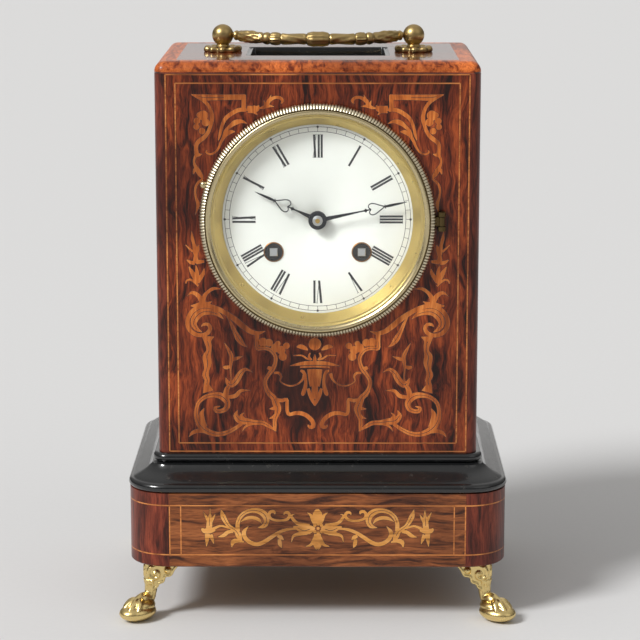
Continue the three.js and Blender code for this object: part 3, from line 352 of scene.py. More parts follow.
def metallic(key, c):
    """The metals: name, colour, roughness, casting, grime and painted shade in the hollows, then
    the pitting and the dark colour of that grime and shade.
    """
    recipes = {
        # brown-toned, so the lip of a winding hole reads as a thin warm ring
        "copper": ("brass_lip_toned", "9a6a3c", 0.3, 0.0, 0.6),
        # bright yellow skin, darkened in the hollows of the paws' modelling by grime and painted
        # shade
        "gilt": ("brass_cast_lacquered", c.gilt, 0.26, 0.25, 0.9),
        # pale, worn and smooth, with a long soft highlight
        "bezel": ("brass_band_worn", "cdbd94", 0.27, 0.0, 0.4),
        # almost silver on the rib tops, where the gilding has gone
        "rib": ("brass_ribs_worn", "d8ccb0", 0.3, 0.0, 0.5),
        # painted shade: dark brown under the ribs so the grooves between them look deep; also the
        # dark aged tone of the hinge
        "patina": ("brass_patina_dark", "5f5034", 0.45, 0.1, 0.8),
        # golden, darkened in the cut waves by grime and painted shade
        "guilloche": ("brass_engine_turned", c.bezel, 0.3, 0.0, 1.2),
        # brown-gold and pitted, black in the hollows with grime and painted shade, as an old
        # handle is
        "bronze": ("brass_cast_aged", c.bronze, 0.36, 0.6, 1.1, 700.0, "2c2412"),
        # plain clean brass with an even grain
        "movement": ("brass_movement_grained", "c0a058", 0.34, 0.0, 0.3),
        # almost black, and blue only in the highlight
        "blued": ("steel_blued", c.blued, 0.32, 0.0, 0.3, 900.0, "0a0a0c"),
        # light grey with a soft shine
        "steel": ("steel_arbor_polished", "c4c6c8", 0.34, 0.0, 0.3, 900.0, "303030"),
    }
    return recipes.get(key)


def glassy(key, c):
    """The enamels: name, colour and roughness."""
    recipes = {
        # clean cool white with a clear shine
        "enamel": ("enamel_dial_fired", c.enamel),
        # black that is duller than the white round it
        "ink": ("enamel_black_fired", c.ink, 0.35),
        # painted shade: black with no shine at all, so the well looks deep
        "soot": ("winding_well_dark", "0b0a09", 0.85),
    }
    return recipes.get(key)


def dark_polish(key, c):
    """The black-stained parts: name and colour."""
    recipes = {
        # piano black, in which the room shows
        "ebonised": ("ebonised_pearwood_shellac", c.ebony),
        # a thin brown-black line round each inlaid piece
        "kerf": ("glue_line_dark", "2a140e"),
    }
    return recipes.get(key)


RECIPES = ((wood, wooden), (metal, metallic), (fired_enamel, glassy), (ebonised, dark_polish))
MATERIALS = {}


def material(key):
    """The finish of that name, made on first use."""
    if key not in MATERIALS:
        if key == "glass":
            MATERIALS[key] = clear_glass("glass_crown_polished")
        for maker, book in RECIPES:
            recipe = book(key, colours())
            if recipe:
                MATERIALS[key] = maker(*recipe)
    return MATERIALS[key]


# ---- building meshes, in millimetres ----
class Shape:
    """Corners and faces of one piece, with a finish number for each face."""

    def __init__(self):
        self.corners, self.faces, self.finish = [], [], []

    def add(self, corners, faces, finish=0):
        """Faces given by their place in these corners."""
        first = len(self.corners)
        self.corners.extend(tuple(c) for c in corners)
        self.faces.extend(tuple(first + i for i in face) for face in faces)
        self.finish.extend([finish] * len(faces))

    def loft(self, loops, finish=0, ends=False, around=False, closed=True):
        """Quads between loops of equal length. ends caps both, around joins last to first."""
        first, n = len(self.corners), len(loops[0])
        self.corners.extend(tuple(c) for loop in loops for c in loop)
        rows = len(loops)
        for i in range(rows if around else rows - 1):
            kind = finish[i] if isinstance(finish, (list, tuple)) else finish
            for j in range(n if closed else n - 1):
                a, b = first + i * n + j, first + i * n + (j + 1) % n
                k = (i + 1) % rows
                c, d = first + k * n + (j + 1) % n, first + k * n + j
                self.faces.append((a, b, c, d))
                self.finish.append(kind)
        if ends:
            kinds = finish if isinstance(finish, (list, tuple)) else [finish]
            self.faces.append(tuple(first + j for j in reversed(range(n))))
            self.faces.append(tuple(first + (rows - 1) * n + j for j in range(n)))
            self.finish.extend([kinds[0], kinds[-1]])

    def join(self, other, move=None, finish=None):
        """Takes in another shape, moved by a matrix."""
        corners = other.corners
        if move is not None:
            corners = [tuple(move @ Vector(c)) for c in corners]
        first = len(self.corners)
        self.corners.extend(corners)
        self.faces.extend(tuple(first + i for i in face) for face in other.faces)
        self.finish.extend(other.finish if finish is None else [finish] * len(other.faces))
        return self


def raw_mesh(name, shape):
    """A shape's corners and faces as a mesh in metres."""
    mesh = bpy.data.meshes.new(name)
    mesh.from_pydata([[v * MM for v in c] for c in shape.corners], [], shape.faces)
    return mesh


def show(name, mesh):
    """An object of that mesh, in the scene."""
    shown = bpy.data.objects.new(name, mesh)
    bpy.context.scene.collection.objects.link(shown)
    return shown


def face_outward(mesh, merge=None):
    """Turns every face outward, after joining corners that lie within merge of each other."""
    work = bmesh.new()
    work.from_mesh(mesh)
    if merge:
        bmesh.ops.remove_doubles(work, verts=work.verts, dist=merge * MM)
    bmesh.ops.recalc_face_normals(work, faces=work.faces)
    work.to_mesh(mesh)
    work.free()


def settle(name, mesh, body, replaced, angle, merge=0.0002):
    """Cleans the mesh and hangs it on its body; edges sharper than angle stay crisp."""
    face_outward(mesh, merge)
    mesh.shade_smooth()
    mesh.set_sharp_from_angle(angle=math.radians(angle))
    piece = show(name, mesh)
    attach(piece, body)
    if replaced:
        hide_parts(*replaced)


def make(name, shape, finishes, body, replaced=(), angle=32, merge=0.0002):
    """The finished piece: one mesh at the origin that rides on its body."""
    mesh = raw_mesh(name, shape)
    for key in finishes:
        mesh.materials.append(material(key))
    mesh.polygons.foreach_set("material_index", shape.finish)
    settle(name, mesh, body, replaced, angle, merge)


def finish_node(node, key):
    """A CAD node keeps its shape and gets its finish."""
    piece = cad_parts[node]
    if not piece.material_slots:
        piece.data.materials.append(None)
    for holder in piece.material_slots:
        holder.link = "OBJECT"
        holder.material = material(key)


def rounded_box(half_x, half_y, r, z, turn=8):
    """A level rectangle with rounded corners."""
    loop = []
    for sx, sy, start in ((1, 1, 0), (-1, 1, 90), (-1, -1, 180), (1, -1, 270)):
        for i in range(turn + 1):
            a = math.radians(start + 90 * i / turn)
            loop.append((sx * (half_x - r) + r * math.cos(a),
                         sy * (half_y - r) + r * math.sin(a), z))
    return loop


def rounded_loop(out, z, turn=8):
    """The case's plan, grown by out."""
    return rounded_box(HALF_W + out, HALF_D + out, max(EDGE_R + out, 0.5), z, turn)


def turns(count):
    """Angles once round a circle."""
    return [2 * math.pi * i / count for i in range(count)]


def circle_xz(r, y, n, cx=0.0, cz=0.0):
    """A ring of corners in an upright plane."""
    return [(cx + r * math.cos(a), y, cz + r * math.sin(a)) for a in turns(n)]


def circle_xy(r, z, n, cx=0.0, cy=0.0):
    """A ring of corners in a level plane."""
    return [(cx + r * math.cos(a), cy + r * math.sin(a), z) for a in turns(n)]


def curve_through(points, steps):
    """One smooth curve through points of any size; steps(a, b) is how many a span gets."""
    points = [Vector(p) for p in points]
    ends = [2 * points[0] - points[1]] + points + [2 * points[-1] - points[-2]]
    out = []
    for i in range(1, len(ends) - 2):
        p0, p1, p2, p3 = ends[i - 1:i + 3]
        count = steps(p1, p2)
        for j in range(count):
            t = j / count
            out.append(0.5 * (2 * p1 + (p2 - p0) * t + (2 * p0 - 5 * p1 + 4 * p2 - p3) * t ** 2
                              + (3 * p1 - p0 - 3 * p2 + p3) * t ** 3))
    return out + [points[-1]]


def smooth_path(points, step):
    """The curve through flat points (across, up, width), in steps of about that length."""
    return curve_through(points, lambda a, b: max(2, int((Vector(b[:2]) - Vector(a[:2])).length
                                                         / step)))


def spline(points, parts=5):
    """The curve through (x, y, z, radius), with the same number of parts in each span."""
    return [tuple(v) for v in curve_through(points, lambda a, b: parts)]


# ---- trees of Geometry Nodes ----
class Tree:
    """A Geometry Nodes group with named inputs, ending in one realised, finished mesh."""

    def __init__(self, name, inputs):
        self.group = bpy.data.node_groups.new(name, "GeometryNodeTree")
        self.keys = {}
        self.values = {}
        for label, kind, value in inputs:
            socket = self.group.interface.new_socket(label, in_out="INPUT", socket_type=kind)
            self.keys[label] = socket.identifier
            self.values[label] = value
        self.group.interface.new_socket("Geometry", in_out="OUTPUT",
                                        socket_type="NodeSocketGeometry")
        self.source = add_node(self.group, "NodeGroupInput")

    def given(self, label):
        """A named input's socket."""
        return self.source.outputs[label]

    def node(self, kind, inputs=None, **settings):
        return add_node(self.group, kind, inputs, **settings)

    def sum(self, kind, a, b=0.0):
        """One arithmetic step."""
        return self.node("ShaderNodeMath", {0: a, 1: b}, operation=kind).outputs["Value"]

    def end(self, geometry, finish):
        """Makes the copies real and gives them their finish."""
        real = self.node("GeometryNodeRealizeInstances", {"Geometry": geometry})
        done = self.node("GeometryNodeSetMaterial", {"Geometry": real.outputs["Geometry"],
                                                     "Material": finish})
        self.node("NodeGroupOutput", {"Geometry": done.outputs["Geometry"]})

    def bake(self, name, body, slot=None, angle=30, base=None):
        """Runs the tree, on base or an empty mesh, and keeps the result as one plain piece."""
        holder = show(name + "_rule", base or bpy.data.meshes.new(name + "_base"))
        rule = holder.modifiers.new("rule", "NODES")
        rule.node_group = self.group
        for label, key in self.keys.items():
            rule[key] = self.values[label]
        graph = bpy.context.evaluated_depsgraph_get()
        mesh = bpy.data.meshes.new_from_object(holder.evaluated_get(graph), depsgraph=graph)
        holder.modifiers.remove(rule)
        bpy.data.objects.remove(holder)
        mesh.name = name
        if not mesh.polygons:
            raise RuntimeError(name + " came out empty")
        settle(name, mesh, body, (), angle)


class ClockOperator(bpy.types.Operator):
    """Shared options of the steps."""
    bl_options = {"REGISTER", "UNDO"}

    def execute(self, context):
        """Runs the step; each step has its own build."""
        self.build()
        return {"FINISHED"}


# ---- case ----
HOLE_R = 47.7               # hole in the front for the dial's pan
FLAT_X = HALF_W - EDGE_R    # where the rounding of the upright edges starts
EDGE_STEPS = 8
WINDOW_REST = 2.2           # how far the top glass lies under the edge of its opening
WINDOW_X = (WINDOW_HIGH[0] - WINDOW_LOW[0]) / 2 - WINDOW_REST
WINDOW_Y = (WINDOW_HIGH[1] - WINDOW_LOW[1]) / 2 - WINDOW_REST
BAND_IN = 9.5               # width of the crossbanding on the top


def front_panel():
    """A board with rounded upright edges and the round hole for the dial pan."""
    low, high = CASE_Z - DIAL_Z, SEAM_Z - DIAL_Z
    angles = {2 * math.pi * i / 192 for i in range(192)}
    angles |= {math.atan2(z, x) % (2 * math.pi) for x in (-FLAT_X, FLAT_X) for z in (low, high)}
    angles = sorted(angles)

    def outline(a):
        c, s = math.cos(a), math.sin(a)
        reach = min(FLAT_X / abs(c) if abs(c) > 1e-9 else 1e9,
                    (high if s > 0 else -low) / abs(s) if abs(s) > 1e-9 else 1e9)
        return c * reach, s * reach

    edge = [outline(a) for a in angles]

    def ring(r, y):
        return [(r * math.cos(a), y, DIAL_Z + r * math.sin(a)) for a in angles]

    def border(grow, y, rest_y=FRONT_Y):
        """The outline with its upright sides moved out by grow and back to y."""
        upright = [abs(abs(x) - FLAT_X) < 1e-6 for x, _ in edge]
        return [(x + math.copysign(grow, x), y, DIAL_Z + z) if on_side else (x, rest_y, DIAL_Z + z)
                for on_side, (x, z) in zip(upright, edge)]

    loops = [ring(HOLE_R, FRONT_BACK), ring(HOLE_R, FRONT_Y + 0.2), ring(HOLE_R + 0.2, FRONT_Y)]
    kinds = [0, 0, 0]
    for i in range(EDGE_STEPS + 1):
        a = math.pi / 2 * i / EDGE_STEPS
        kinds.append(1)
        loops.append(border(EDGE_R * math.sin(a), FRONT_Y + EDGE_R * (1 - math.cos(a))))
    loops.append(border(EDGE_R, FRONT_BACK, FRONT_BACK))
    shape = Shape()
    shape.loft(loops, kinds + [0], around=True)
    return shape


def top_board():
    """The lid board: banded rounded edge, veneered flat and the opening for the glass."""
    def opening(grow, z):
        return rounded_box(WINDOW_X + grow, WINDOW_Y + grow, 1.2, z)

    loops = [opening(4.0, SEAM_Z + 0.1), rounded_loop(0, SEAM_Z + 0.1)]
    kinds = [0, 0]
    for i in range(EDGE_STEPS + 1):
        a = math.pi / 2 * i / EDGE_STEPS
        loops.append(rounded_loop(EDGE_R * (math.cos(a) - 1), TOP_Z - EDGE_R * (1 - math.sin(a))))
        kinds.append(1)
    loops += [rounded_loop(-BAND_IN, TOP_Z), opening(2.2, TOP_Z)]
    kinds += [0, 2]
    loops += [opening(1.9, TOP_Z - 0.35), opening(1.2, TOP_Z - 0.5), opening(0.2, TOP_Z - 0.1),
              opening(0.0, TOP_Z - 0.5), opening(0.0, WINDOW_HIGH[2] + 0.05),
              opening(4.0, WINDOW_HIGH[2] + 0.05)]
    kinds += [2, 2, 2, 2, 2, 0]
    shape = Shape()
    shape.loft(loops, kinds, around=True)
    return shape


class CLOCK_OT_case(ClockOperator):
    """Veneered case: front, sides, back frame, lid board and its glass"""
    bl_idname = "clock.case"
    bl_label = "Case"

    def build(self):
        make("front_panel", front_panel(), ["rosewood", "corner_wood"], "case",
             ["case_front_panel"], angle=40)
        make("top_board", top_board(), ["top_wood", "banding", "ebonised"], "case",
             ["case_top_board"], angle=40, merge=0.001)
        finish_node("case_left_side", "rosewood_side")
        finish_node("case_right_side", "rosewood_side")
        finish_node("case_back_frame", "rosewood_side")
        finish_node("case_floor_board", "oak")
        finish_node("plinth_base_board", "oak")
        finish_node("top_window_glass", "glass")


# ---- plinth ----
CORNER_X = 67.2             # joint between the long grain and the corner veneer
CORNER_Y = HALF_D + BASE_OUT - (HALF_W + BASE_OUT - CORNER_X)
CORNER_STEPS = 12
FRIEZE_T = 9.0
FRIEZE_LINES = (55.3, 32.2)  # heights of the two lines round the frieze


def round_the_plinth(section, finish=0):
    """A closed section of (out, z) points taken round the case."""
    shape = Shape()
    shape.loft([rounded_loop(out, z, CORNER_STEPS) for out, z in section], finish, around=True)
    return shape


def split_flats(loop):
    """The same loop with a joint in each flat, where the corner veneer ends."""
    out = []
    for here, after in zip(loop, loop[1:] + loop[:1]):
        out.append(here)
        for axis, end in ((0, CORNER_X), (1, CORNER_Y)):
            if abs(after[axis] - here[axis]) > end:
                for side in (1, -1) if here[axis] > 0 else (-1, 1):
                    joint = list(here)
                    joint[axis] = side * end
                    out.append(tuple(joint))
    return out


def frieze_board():
    """Frieze with long grain on the flats and darker upright veneer round the corners."""
    low, top, out = FRIEZE_LOW[2], FRIEZE_HIGH[2], BASE_OUT
    shape = Shape()
    shape.loft([split_flats(rounded_loop(grow, z, CORNER_STEPS)) for grow, z in
                ((out - FRIEZE_T, low), (out - 0.5, low), (out, low + 0.5), (out, top - 0.02),
                 (out - FRIEZE_T, top - 0.02))], around=True)
    for k, face in enumerate(shape.faces):
        xs, ys = ([shape.corners[i][axis] for i in face] for axis in (0, 1))
        if max(ys) - min(ys) > CORNER_Y:
            shape.finish[k] = 2
        elif max(xs) - min(xs) < CORNER_X:
            shape.finish[k] = 1
    return shape


def round_edge(out, z, r, start):
    """Points of a rounded edge, from the angle start up to straight up."""
    return [(out + r * math.cos(math.radians(a)), z + r * math.sin(math.radians(a)))
            for a in range(start, 91, 15)]


def moulding_section():
    """Thumb moulding: nosing, broad ogee and the bead that the case stands in."""
    low, top = MOULD_LOW[2], MOULD_HIGH[2]
    inner = -10                                    # hidden under the case
    nose_r, nose_out = 2.1, BASE_OUT - 1.5
    bead_r, bead_out = 2.05, 0.7
    bead_z = top - bead_r
    rise = low + 2 * nose_r
    ogee_out, ogee_top = 3.2, bead_z - bead_r - 0.9
    section = [(inner, low), (BASE_OUT - 1.2, low)]
    section += round_edge(nose_out, low + nose_r, nose_r, -60)
    for i in range(1, 15):
        t = i / 14
        swing = 0.5 - 0.5 * math.cos(math.pi * t)
        section.append((nose_out - (nose_out - ogee_out) * (0.45 * t + 0.55 * swing),
                        rise + (ogee_top - rise) * t ** 1.25))
    section += [(2.6, ogee_top + 0.1), (2.2, ogee_top + 0.5), (bead_out, bead_z - bead_r)]
    section += round_edge(bead_out, bead_z, bead_r, -75)
    return section + [(inner, top)]


class CLOCK_OT_plinth(ClockOperator):
    """Ebonised moulding and the veneered frieze with its pale lines"""
    bl_idname = "clock.plinth"
    bl_label = "Plinth"

    def build(self):
        make("plinth_moulding_turned", round_the_plinth(moulding_section()), ["ebonised"], "case",
             ["plinth_moulding"], angle=50)
        make("plinth_frieze_veneered", frieze_board(),
             ["plinth_wood", "corner_wood", "plinth_wood_side"], "case", ["plinth_frieze"],
             angle=40)
        width, proud = sizes().line_width / MM, sizes().inlay_proud / MM
        lines = Shape()
        inner, outer = BASE_OUT - 0.3, BASE_OUT + proud
        for z in FRIEZE_LINES:
            low, high = z - width / 2, z + width / 2
            lines.join(round_the_plinth([(inner, low), (outer, low), (outer, high),
                                         (inner, high)]))
        make("plinth_lines", lines, ["line"], "case")


# ---- bezel ----
BEZEL_R = 53.0
HINGE_X = 55.4              # the hinge's pin: from the middle, and in front of the case
HINGE_F = 2.4
KNUCKLE_HALF = 2.0
NUB_AT = math.radians(162)  # the nub that a finger lifts the bezel by
RIB_R = 0.56


def turned_ring(section, count=160, shape=None, finish=0):
    """A closed section of (radius, height in front of the case) turned round the dial's middle."""
    shape = shape or Shape()
    shape.loft([circle_xz(r, FRONT_Y - f, count, 0, DIAL_Z) for r, f in section], finish,
               around=True)
    return shape


def bezel_body():
    """Turned brass ring: plain core under the ribs, a step and a cove down to the glass."""
    core = [(50.3, 0.3), (52.1, 0.3), (52.3, 1.3), (52.3, 3.3), (51.6, 4.15), (50.6, 4.55),
            (49.9, 4.6), (49.9, 2.2), (50.3, 2.2)]
    band = [(49.95, 4.2), (49.95, 4.5), (49.85, 4.85), (49.55, 5.05), (49.15, 5.1), (48.75, 4.98),
            (48.4, 4.75), (48.1, 4.5), (48.05, 4.3), (49.0, 4.3), (49.0, 2.4), (49.95, 2.4)]
    # the core, knuckle and strap take the dark brown finish: painted shade in the grooves between
    # the ribs, and the hinge's aged tone
    shape = turned_ring(core, finish=1)
    turned_ring(band, 200, shape)
    reach = KNUCKLE_HALF
    knuckle = Shape()
    knuckle.loft([circle_xy(1.38, DIAL_Z + z, 24, HINGE_X, FRONT_Y - HINGE_F)
                  for z in (-reach, 0.2 - reach, reach - 0.2, reach)], 1, ends=True)
    strap = Shape()
    strap.loft([[(x, FRONT_Y - HINGE_F + y, DIAL_Z + z) for y, z in
                 ((-0.5, -reach), (0.5, -reach), (0.5, reach), (-0.5, reach))]
                for x in (BEZEL_R - 1, HINGE_X)], 1, ends=True)
    shape.join(knuckle).join(strap)
    nub = Shape()
    nub.loft([circle_xz(max(1.75 * math.sin(math.radians(a)), 0.01),
                        FRONT_Y - 2.6 - 1.6 * math.cos(math.radians(a)), 20,
                        (BEZEL_R + 0.3) * math.cos(NUB_AT),
                        DIAL_Z + (BEZEL_R + 0.3) * math.sin(NUB_AT))
              for a in range(0, 181, 15)], ends=True)
    return shape.join(nub)


def rib_tree():
    """Ribs set round a ring: each is a bowed half-round bar that follows the rim's section."""
    s = sizes()
    tree = Tree("bezel_ribs_rule", [("Radius", "NodeSocketFloat", s.bezel_outer),
                                    ("Ribs", "NodeSocketInt", s.rib_count),
                                    ("Rib radius", "NodeSocketFloat", RIB_R * MM),
                                    ("Centre", "NodeSocketVector",
                                     (0, FRONT_Y * MM, DIAL_Z * MM))])
    out = tree.sum("SUBTRACT", tree.given("Radius"), 0.57 * MM)
    points = [(-0.1, 0.6), (0.0, 1.5), (-0.05, 3.2), (-0.75, 4.1), (-2.0, 4.6)]
    path = tree.node("GeometryNodeCurvePrimitiveLine", {"Start": (0, 0, 0), "End": (1, 0, 0)})
    fine = tree.node("GeometryNodeResampleCurve", {"Curve": path.outputs["Curve"],
                                                   "Count": len(points)})
    index = tree.node("GeometryNodeInputIndex").outputs["Index"]
    x, y = out, 0.0
    for i, (dr, f) in enumerate(points):
        here = tree.node("FunctionNodeCompare", {2: index, 3: i}, data_type="INT",
                         operation="EQUAL").outputs["Result"]
        x = tree.sum("ADD", tree.sum("MULTIPLY", here, dr * MM), x)
        y = tree.sum("ADD", tree.sum("MULTIPLY", here, -f * MM), y)
    place_at = tree.node("ShaderNodeCombineXYZ", {"X": x, "Y": y})
    bent = tree.node("GeometryNodeSetPosition", {"Geometry": fine.outputs["Curve"],
                                                 "Position": place_at.outputs["Vector"]})
    ring = tree.node("GeometryNodeCurvePrimitiveCircle", {"Resolution": 6,
                                                          "Radius": tree.given("Rib radius")})
    bar = tree.node("GeometryNodeCurveToMesh", {"Curve": bent.outputs["Geometry"],
                                                "Profile Curve": ring.outputs["Curve"],
                                                "Fill Caps": True})
    dots = tree.node("GeometryNodeMeshLine", {"Count": tree.given("Ribs"), "Offset": (0, 0, 0)})
    turn = tree.sum("DIVIDE", 2 * math.pi, tree.given("Ribs"))
    angle = tree.sum("MULTIPLY", index, turn)
    spin = tree.node("ShaderNodeCombineXYZ", {"Y": angle})
    copies = tree.node("GeometryNodeInstanceOnPoints", {"Points": dots.outputs["Mesh"],
                                                        "Instance": bar.outputs["Mesh"],
                                                        "Rotation": spin.outputs["Vector"]})
    moved = tree.node("GeometryNodeTransform", {"Geometry": copies.outputs["Instances"],
                                                "Translation": tree.given("Centre")})
    tree.end(moved.outputs["Geometry"], material("rib"))
    return tree


def engine_turned():
    """The sloped ring round the enamel, cut with fine crossing waves by a rose engine."""
    shape = Shape()
    inner, outer = sizes().sight / MM, 46.9
    low, high = -3.9, 1.85
    rows, count = 32, 1560
    waves, depth, lean = 130, 0.16, 4 * math.pi
    loops = []
    for i in range(rows + 1):
        t = i / rows
        fade = math.sin(math.pi * min(1, 8 * min(t, 1 - t)) / 2)
        loop = []
        for a in turns(count):
            wave = fade * depth * abs(math.sin(waves * a + lean * t)
                                      * math.sin(waves * a - lean * t))
            r = inner + (outer - inner) * t
            f = low + (high - low) * t + wave
            loop.append((r * math.cos(a), FRONT_Y - f, DIAL_Z + r * math.sin(a)))
        loops.append(loop)
    for r, f in ((47.2, 2.05), (47.6, 2.05), (47.6, 1.8), (46.05, 1.75), (46.05, low)):
        loops.append(circle_xz(r, FRONT_Y - f, count, 0, DIAL_Z))
    shape.loft(loops, around=True)
    return shape


def bezel_lens():
    """Bevelled glass: flat back, front bevelled toward the rim."""
    section = [(0.01, 2.35), (48.7, 2.35), (48.7, 3.3), (47.4, 3.9), (44.2, 4.25), (0.01, 4.25)]
    shape = Shape()
    shape.loft([circle_xz(r, FRONT_Y - f, 128, 0, DIAL_Z) for r, f in section], around=True)
    return shape


class CLOCK_OT_bezel(ClockOperator):
    """Hinged bezel: turned ring, ribs, engine-turned ring and bevelled glass"""
    bl_idname = "clock.bezel"
    bl_label = "Bezel"

    def build(self):
        make("bezel_turned_ring", bezel_body(), ["bezel", "patina"], "bezel", ["bezel_ring"])
        rib_tree().bake("bezel_ribs", "bezel", slot="gilt_brass", angle=60)
        make("bezel_lens", bezel_lens(), ["glass"], "bezel", ["bezel_glass"], angle=20)
        make("engine_turned_ring", engine_turned(), ["guilloche"], "case", ["dial_surround"],
             angle=70)
        finish_node("bezel_hinge", "patina")
        finish_node("dial_pan", "bezel")


# ---- dial ----
FACE_F = FRONT_Y - DIAL_LOW[1]
INK_T = 0.03
HOUR_HOLE = 3.1             # radius of the hole for the hands' arbors
WIND_REACH = 26.0
WELL_R = 4.0                # radius of a winding hole inside its lip
SQUARE_HALF = 1.75


def dial_plate():
    """Enamelled disc with a softly rounded rim and three rimmed holes."""
    section = [(HOUR_HOLE, FACE_F - 1.5), (DIAL_R, FACE_F - 1.5), (DIAL_R, FACE_F - 0.5),
               (DIAL_R - 0.15, FACE_F - 0.2), (DIAL_R - 0.6, FACE_F), (WIND_REACH, FACE_F),
               (HOUR_HOLE + 0.3, FACE_F), (HOUR_HOLE, FACE_F - 0.2)]
    shape = Shape()
    shape.loft([circle_xz(r, FRONT_Y - f, 160, 0, DIAL_Z) for r, f in section], around=True)
    return shape


def wind_well(side):
    """Copper-brown lip of a winding hole, and inside it a black disc that is painted shade for the
    hole's depth.
    """
    shape = Shape()
    lip = [(WELL_R, 0.01), (4.02, 0.2), (4.12, 0.34), (4.26, 0.36), (4.42, 0.26), (4.55, 0.05),
           (4.55, -0.3), (WELL_R, -0.3)]
    # the well is a flat black disc, painted shade where the hole falls into shadow
    well = [(0.01, 0.02), (WELL_R, 0.02), (WELL_R, -0.3), (0.01, -0.3)]
    for finish, section in enumerate((lip, well)):
        shape.loft([circle_xz(r, FRONT_Y - FACE_F - f, 40, side * WIND_X, WIND_Z)
                    for r, f in section], finish, around=True)
    return shape


def wind_square(side):
    """The steel square that the key fits, with a dished end."""
    tip = FACE_F + 0.9
    shape = Shape()
    rows = [(SQUARE_HALF - 0.25, tip), (SQUARE_HALF, tip - 0.25), (SQUARE_HALF, FACE_F - 0.2)]
    shape.loft([[(side * WIND_X + h * sx, FRONT_Y - f, WIND_Z + h * sz)
                 for sx, sz in ((1, 1), (-1, 1), (-1, -1), (1, -1))] for h, f in rows], ends=True)
    return shape


def flat_bar(shape, outline):
    """A flat figure on the dial: a convex outline of (x, z) from the middle, a little proud."""
    y0 = FRONT_Y - FACE_F
    n = len(outline)
    front = [(x, y0 - INK_T, DIAL_Z + z) for x, z in outline]
    back = [(x, y0 + 0.05, DIAL_Z + z) for x, z in outline]
    shape.add(front + back, [tuple(range(n)), tuple(reversed(range(n, 2 * n)))]
              + [(i, (i + 1) % n, n + (i + 1) % n, n + i) for i in range(n)])


NUMERALS = ("XII", "I", "II", "III", "IIII", "V", "VI", "VII", "VIII", "IX", "X", "XI")
GLYPH_W = {"I": 1.32, "V": 2.9, "X": 2.3}


def numeral(shape, word, angle, foot, head):
    """Thick and thin strokes with fine feet, standing on the dial's middle."""
    squeeze = 0.94 if len(word) > 3 else 1.0
    widths = [GLYPH_W[c] * squeeze for c in word]
    x = -sum(widths) / 2
    turn = math.radians(angle)

    def bar(points):
        flat_bar(shape, [(px * math.cos(turn) + pz * math.sin(turn),
                          -px * math.sin(turn) + pz * math.cos(turn)) for px, pz in points])

    def limb(x0, x1, thick):
        bar([(x0 - thick / 2, foot), (x0 + thick / 2, foot), (x1 + thick / 2, head),
             (x1 - thick / 2, head)])

    def serif(at, width, z):
        bar([(at - width / 2, z - 0.08), (at + width / 2, z - 0.08), (at + width / 2, z + 0.08),
             (at - width / 2, z + 0.08)])

    for letter, width in zip(word, widths):
        mid = x + width / 2
        arm = width / 2 - 0.5 * squeeze
        if letter == "I":
            limb(mid, mid, 0.94 * squeeze)
            for z in (foot, head):
                serif(mid, 1.2 * squeeze, z)
        elif letter == "V":
            limb(mid, mid - arm, 0.98 * squeeze)
            limb(mid, mid + arm, 0.24)
            serif(mid - arm, 1.25 * squeeze, head)
            serif(mid + arm, 0.9 * squeeze, head)
            serif(mid, 0.5, foot)
        else:
            limb(mid + arm * 0.4, mid - arm * 0.4, 0.98 * squeeze)
            limb(mid - arm, mid + arm, 0.2)
            for z in (foot, head):
                serif(mid, 1.7 * squeeze, z)
        x += width


def numerals():
    """The twelve hours, from XII round to XI."""
    s = sizes()
    shape = Shape()
    for hour, word in enumerate(NUMERALS):
        numeral(shape, word, hour * 30, s.numeral_inner / MM, s.numeral_outer / MM)
    return shape


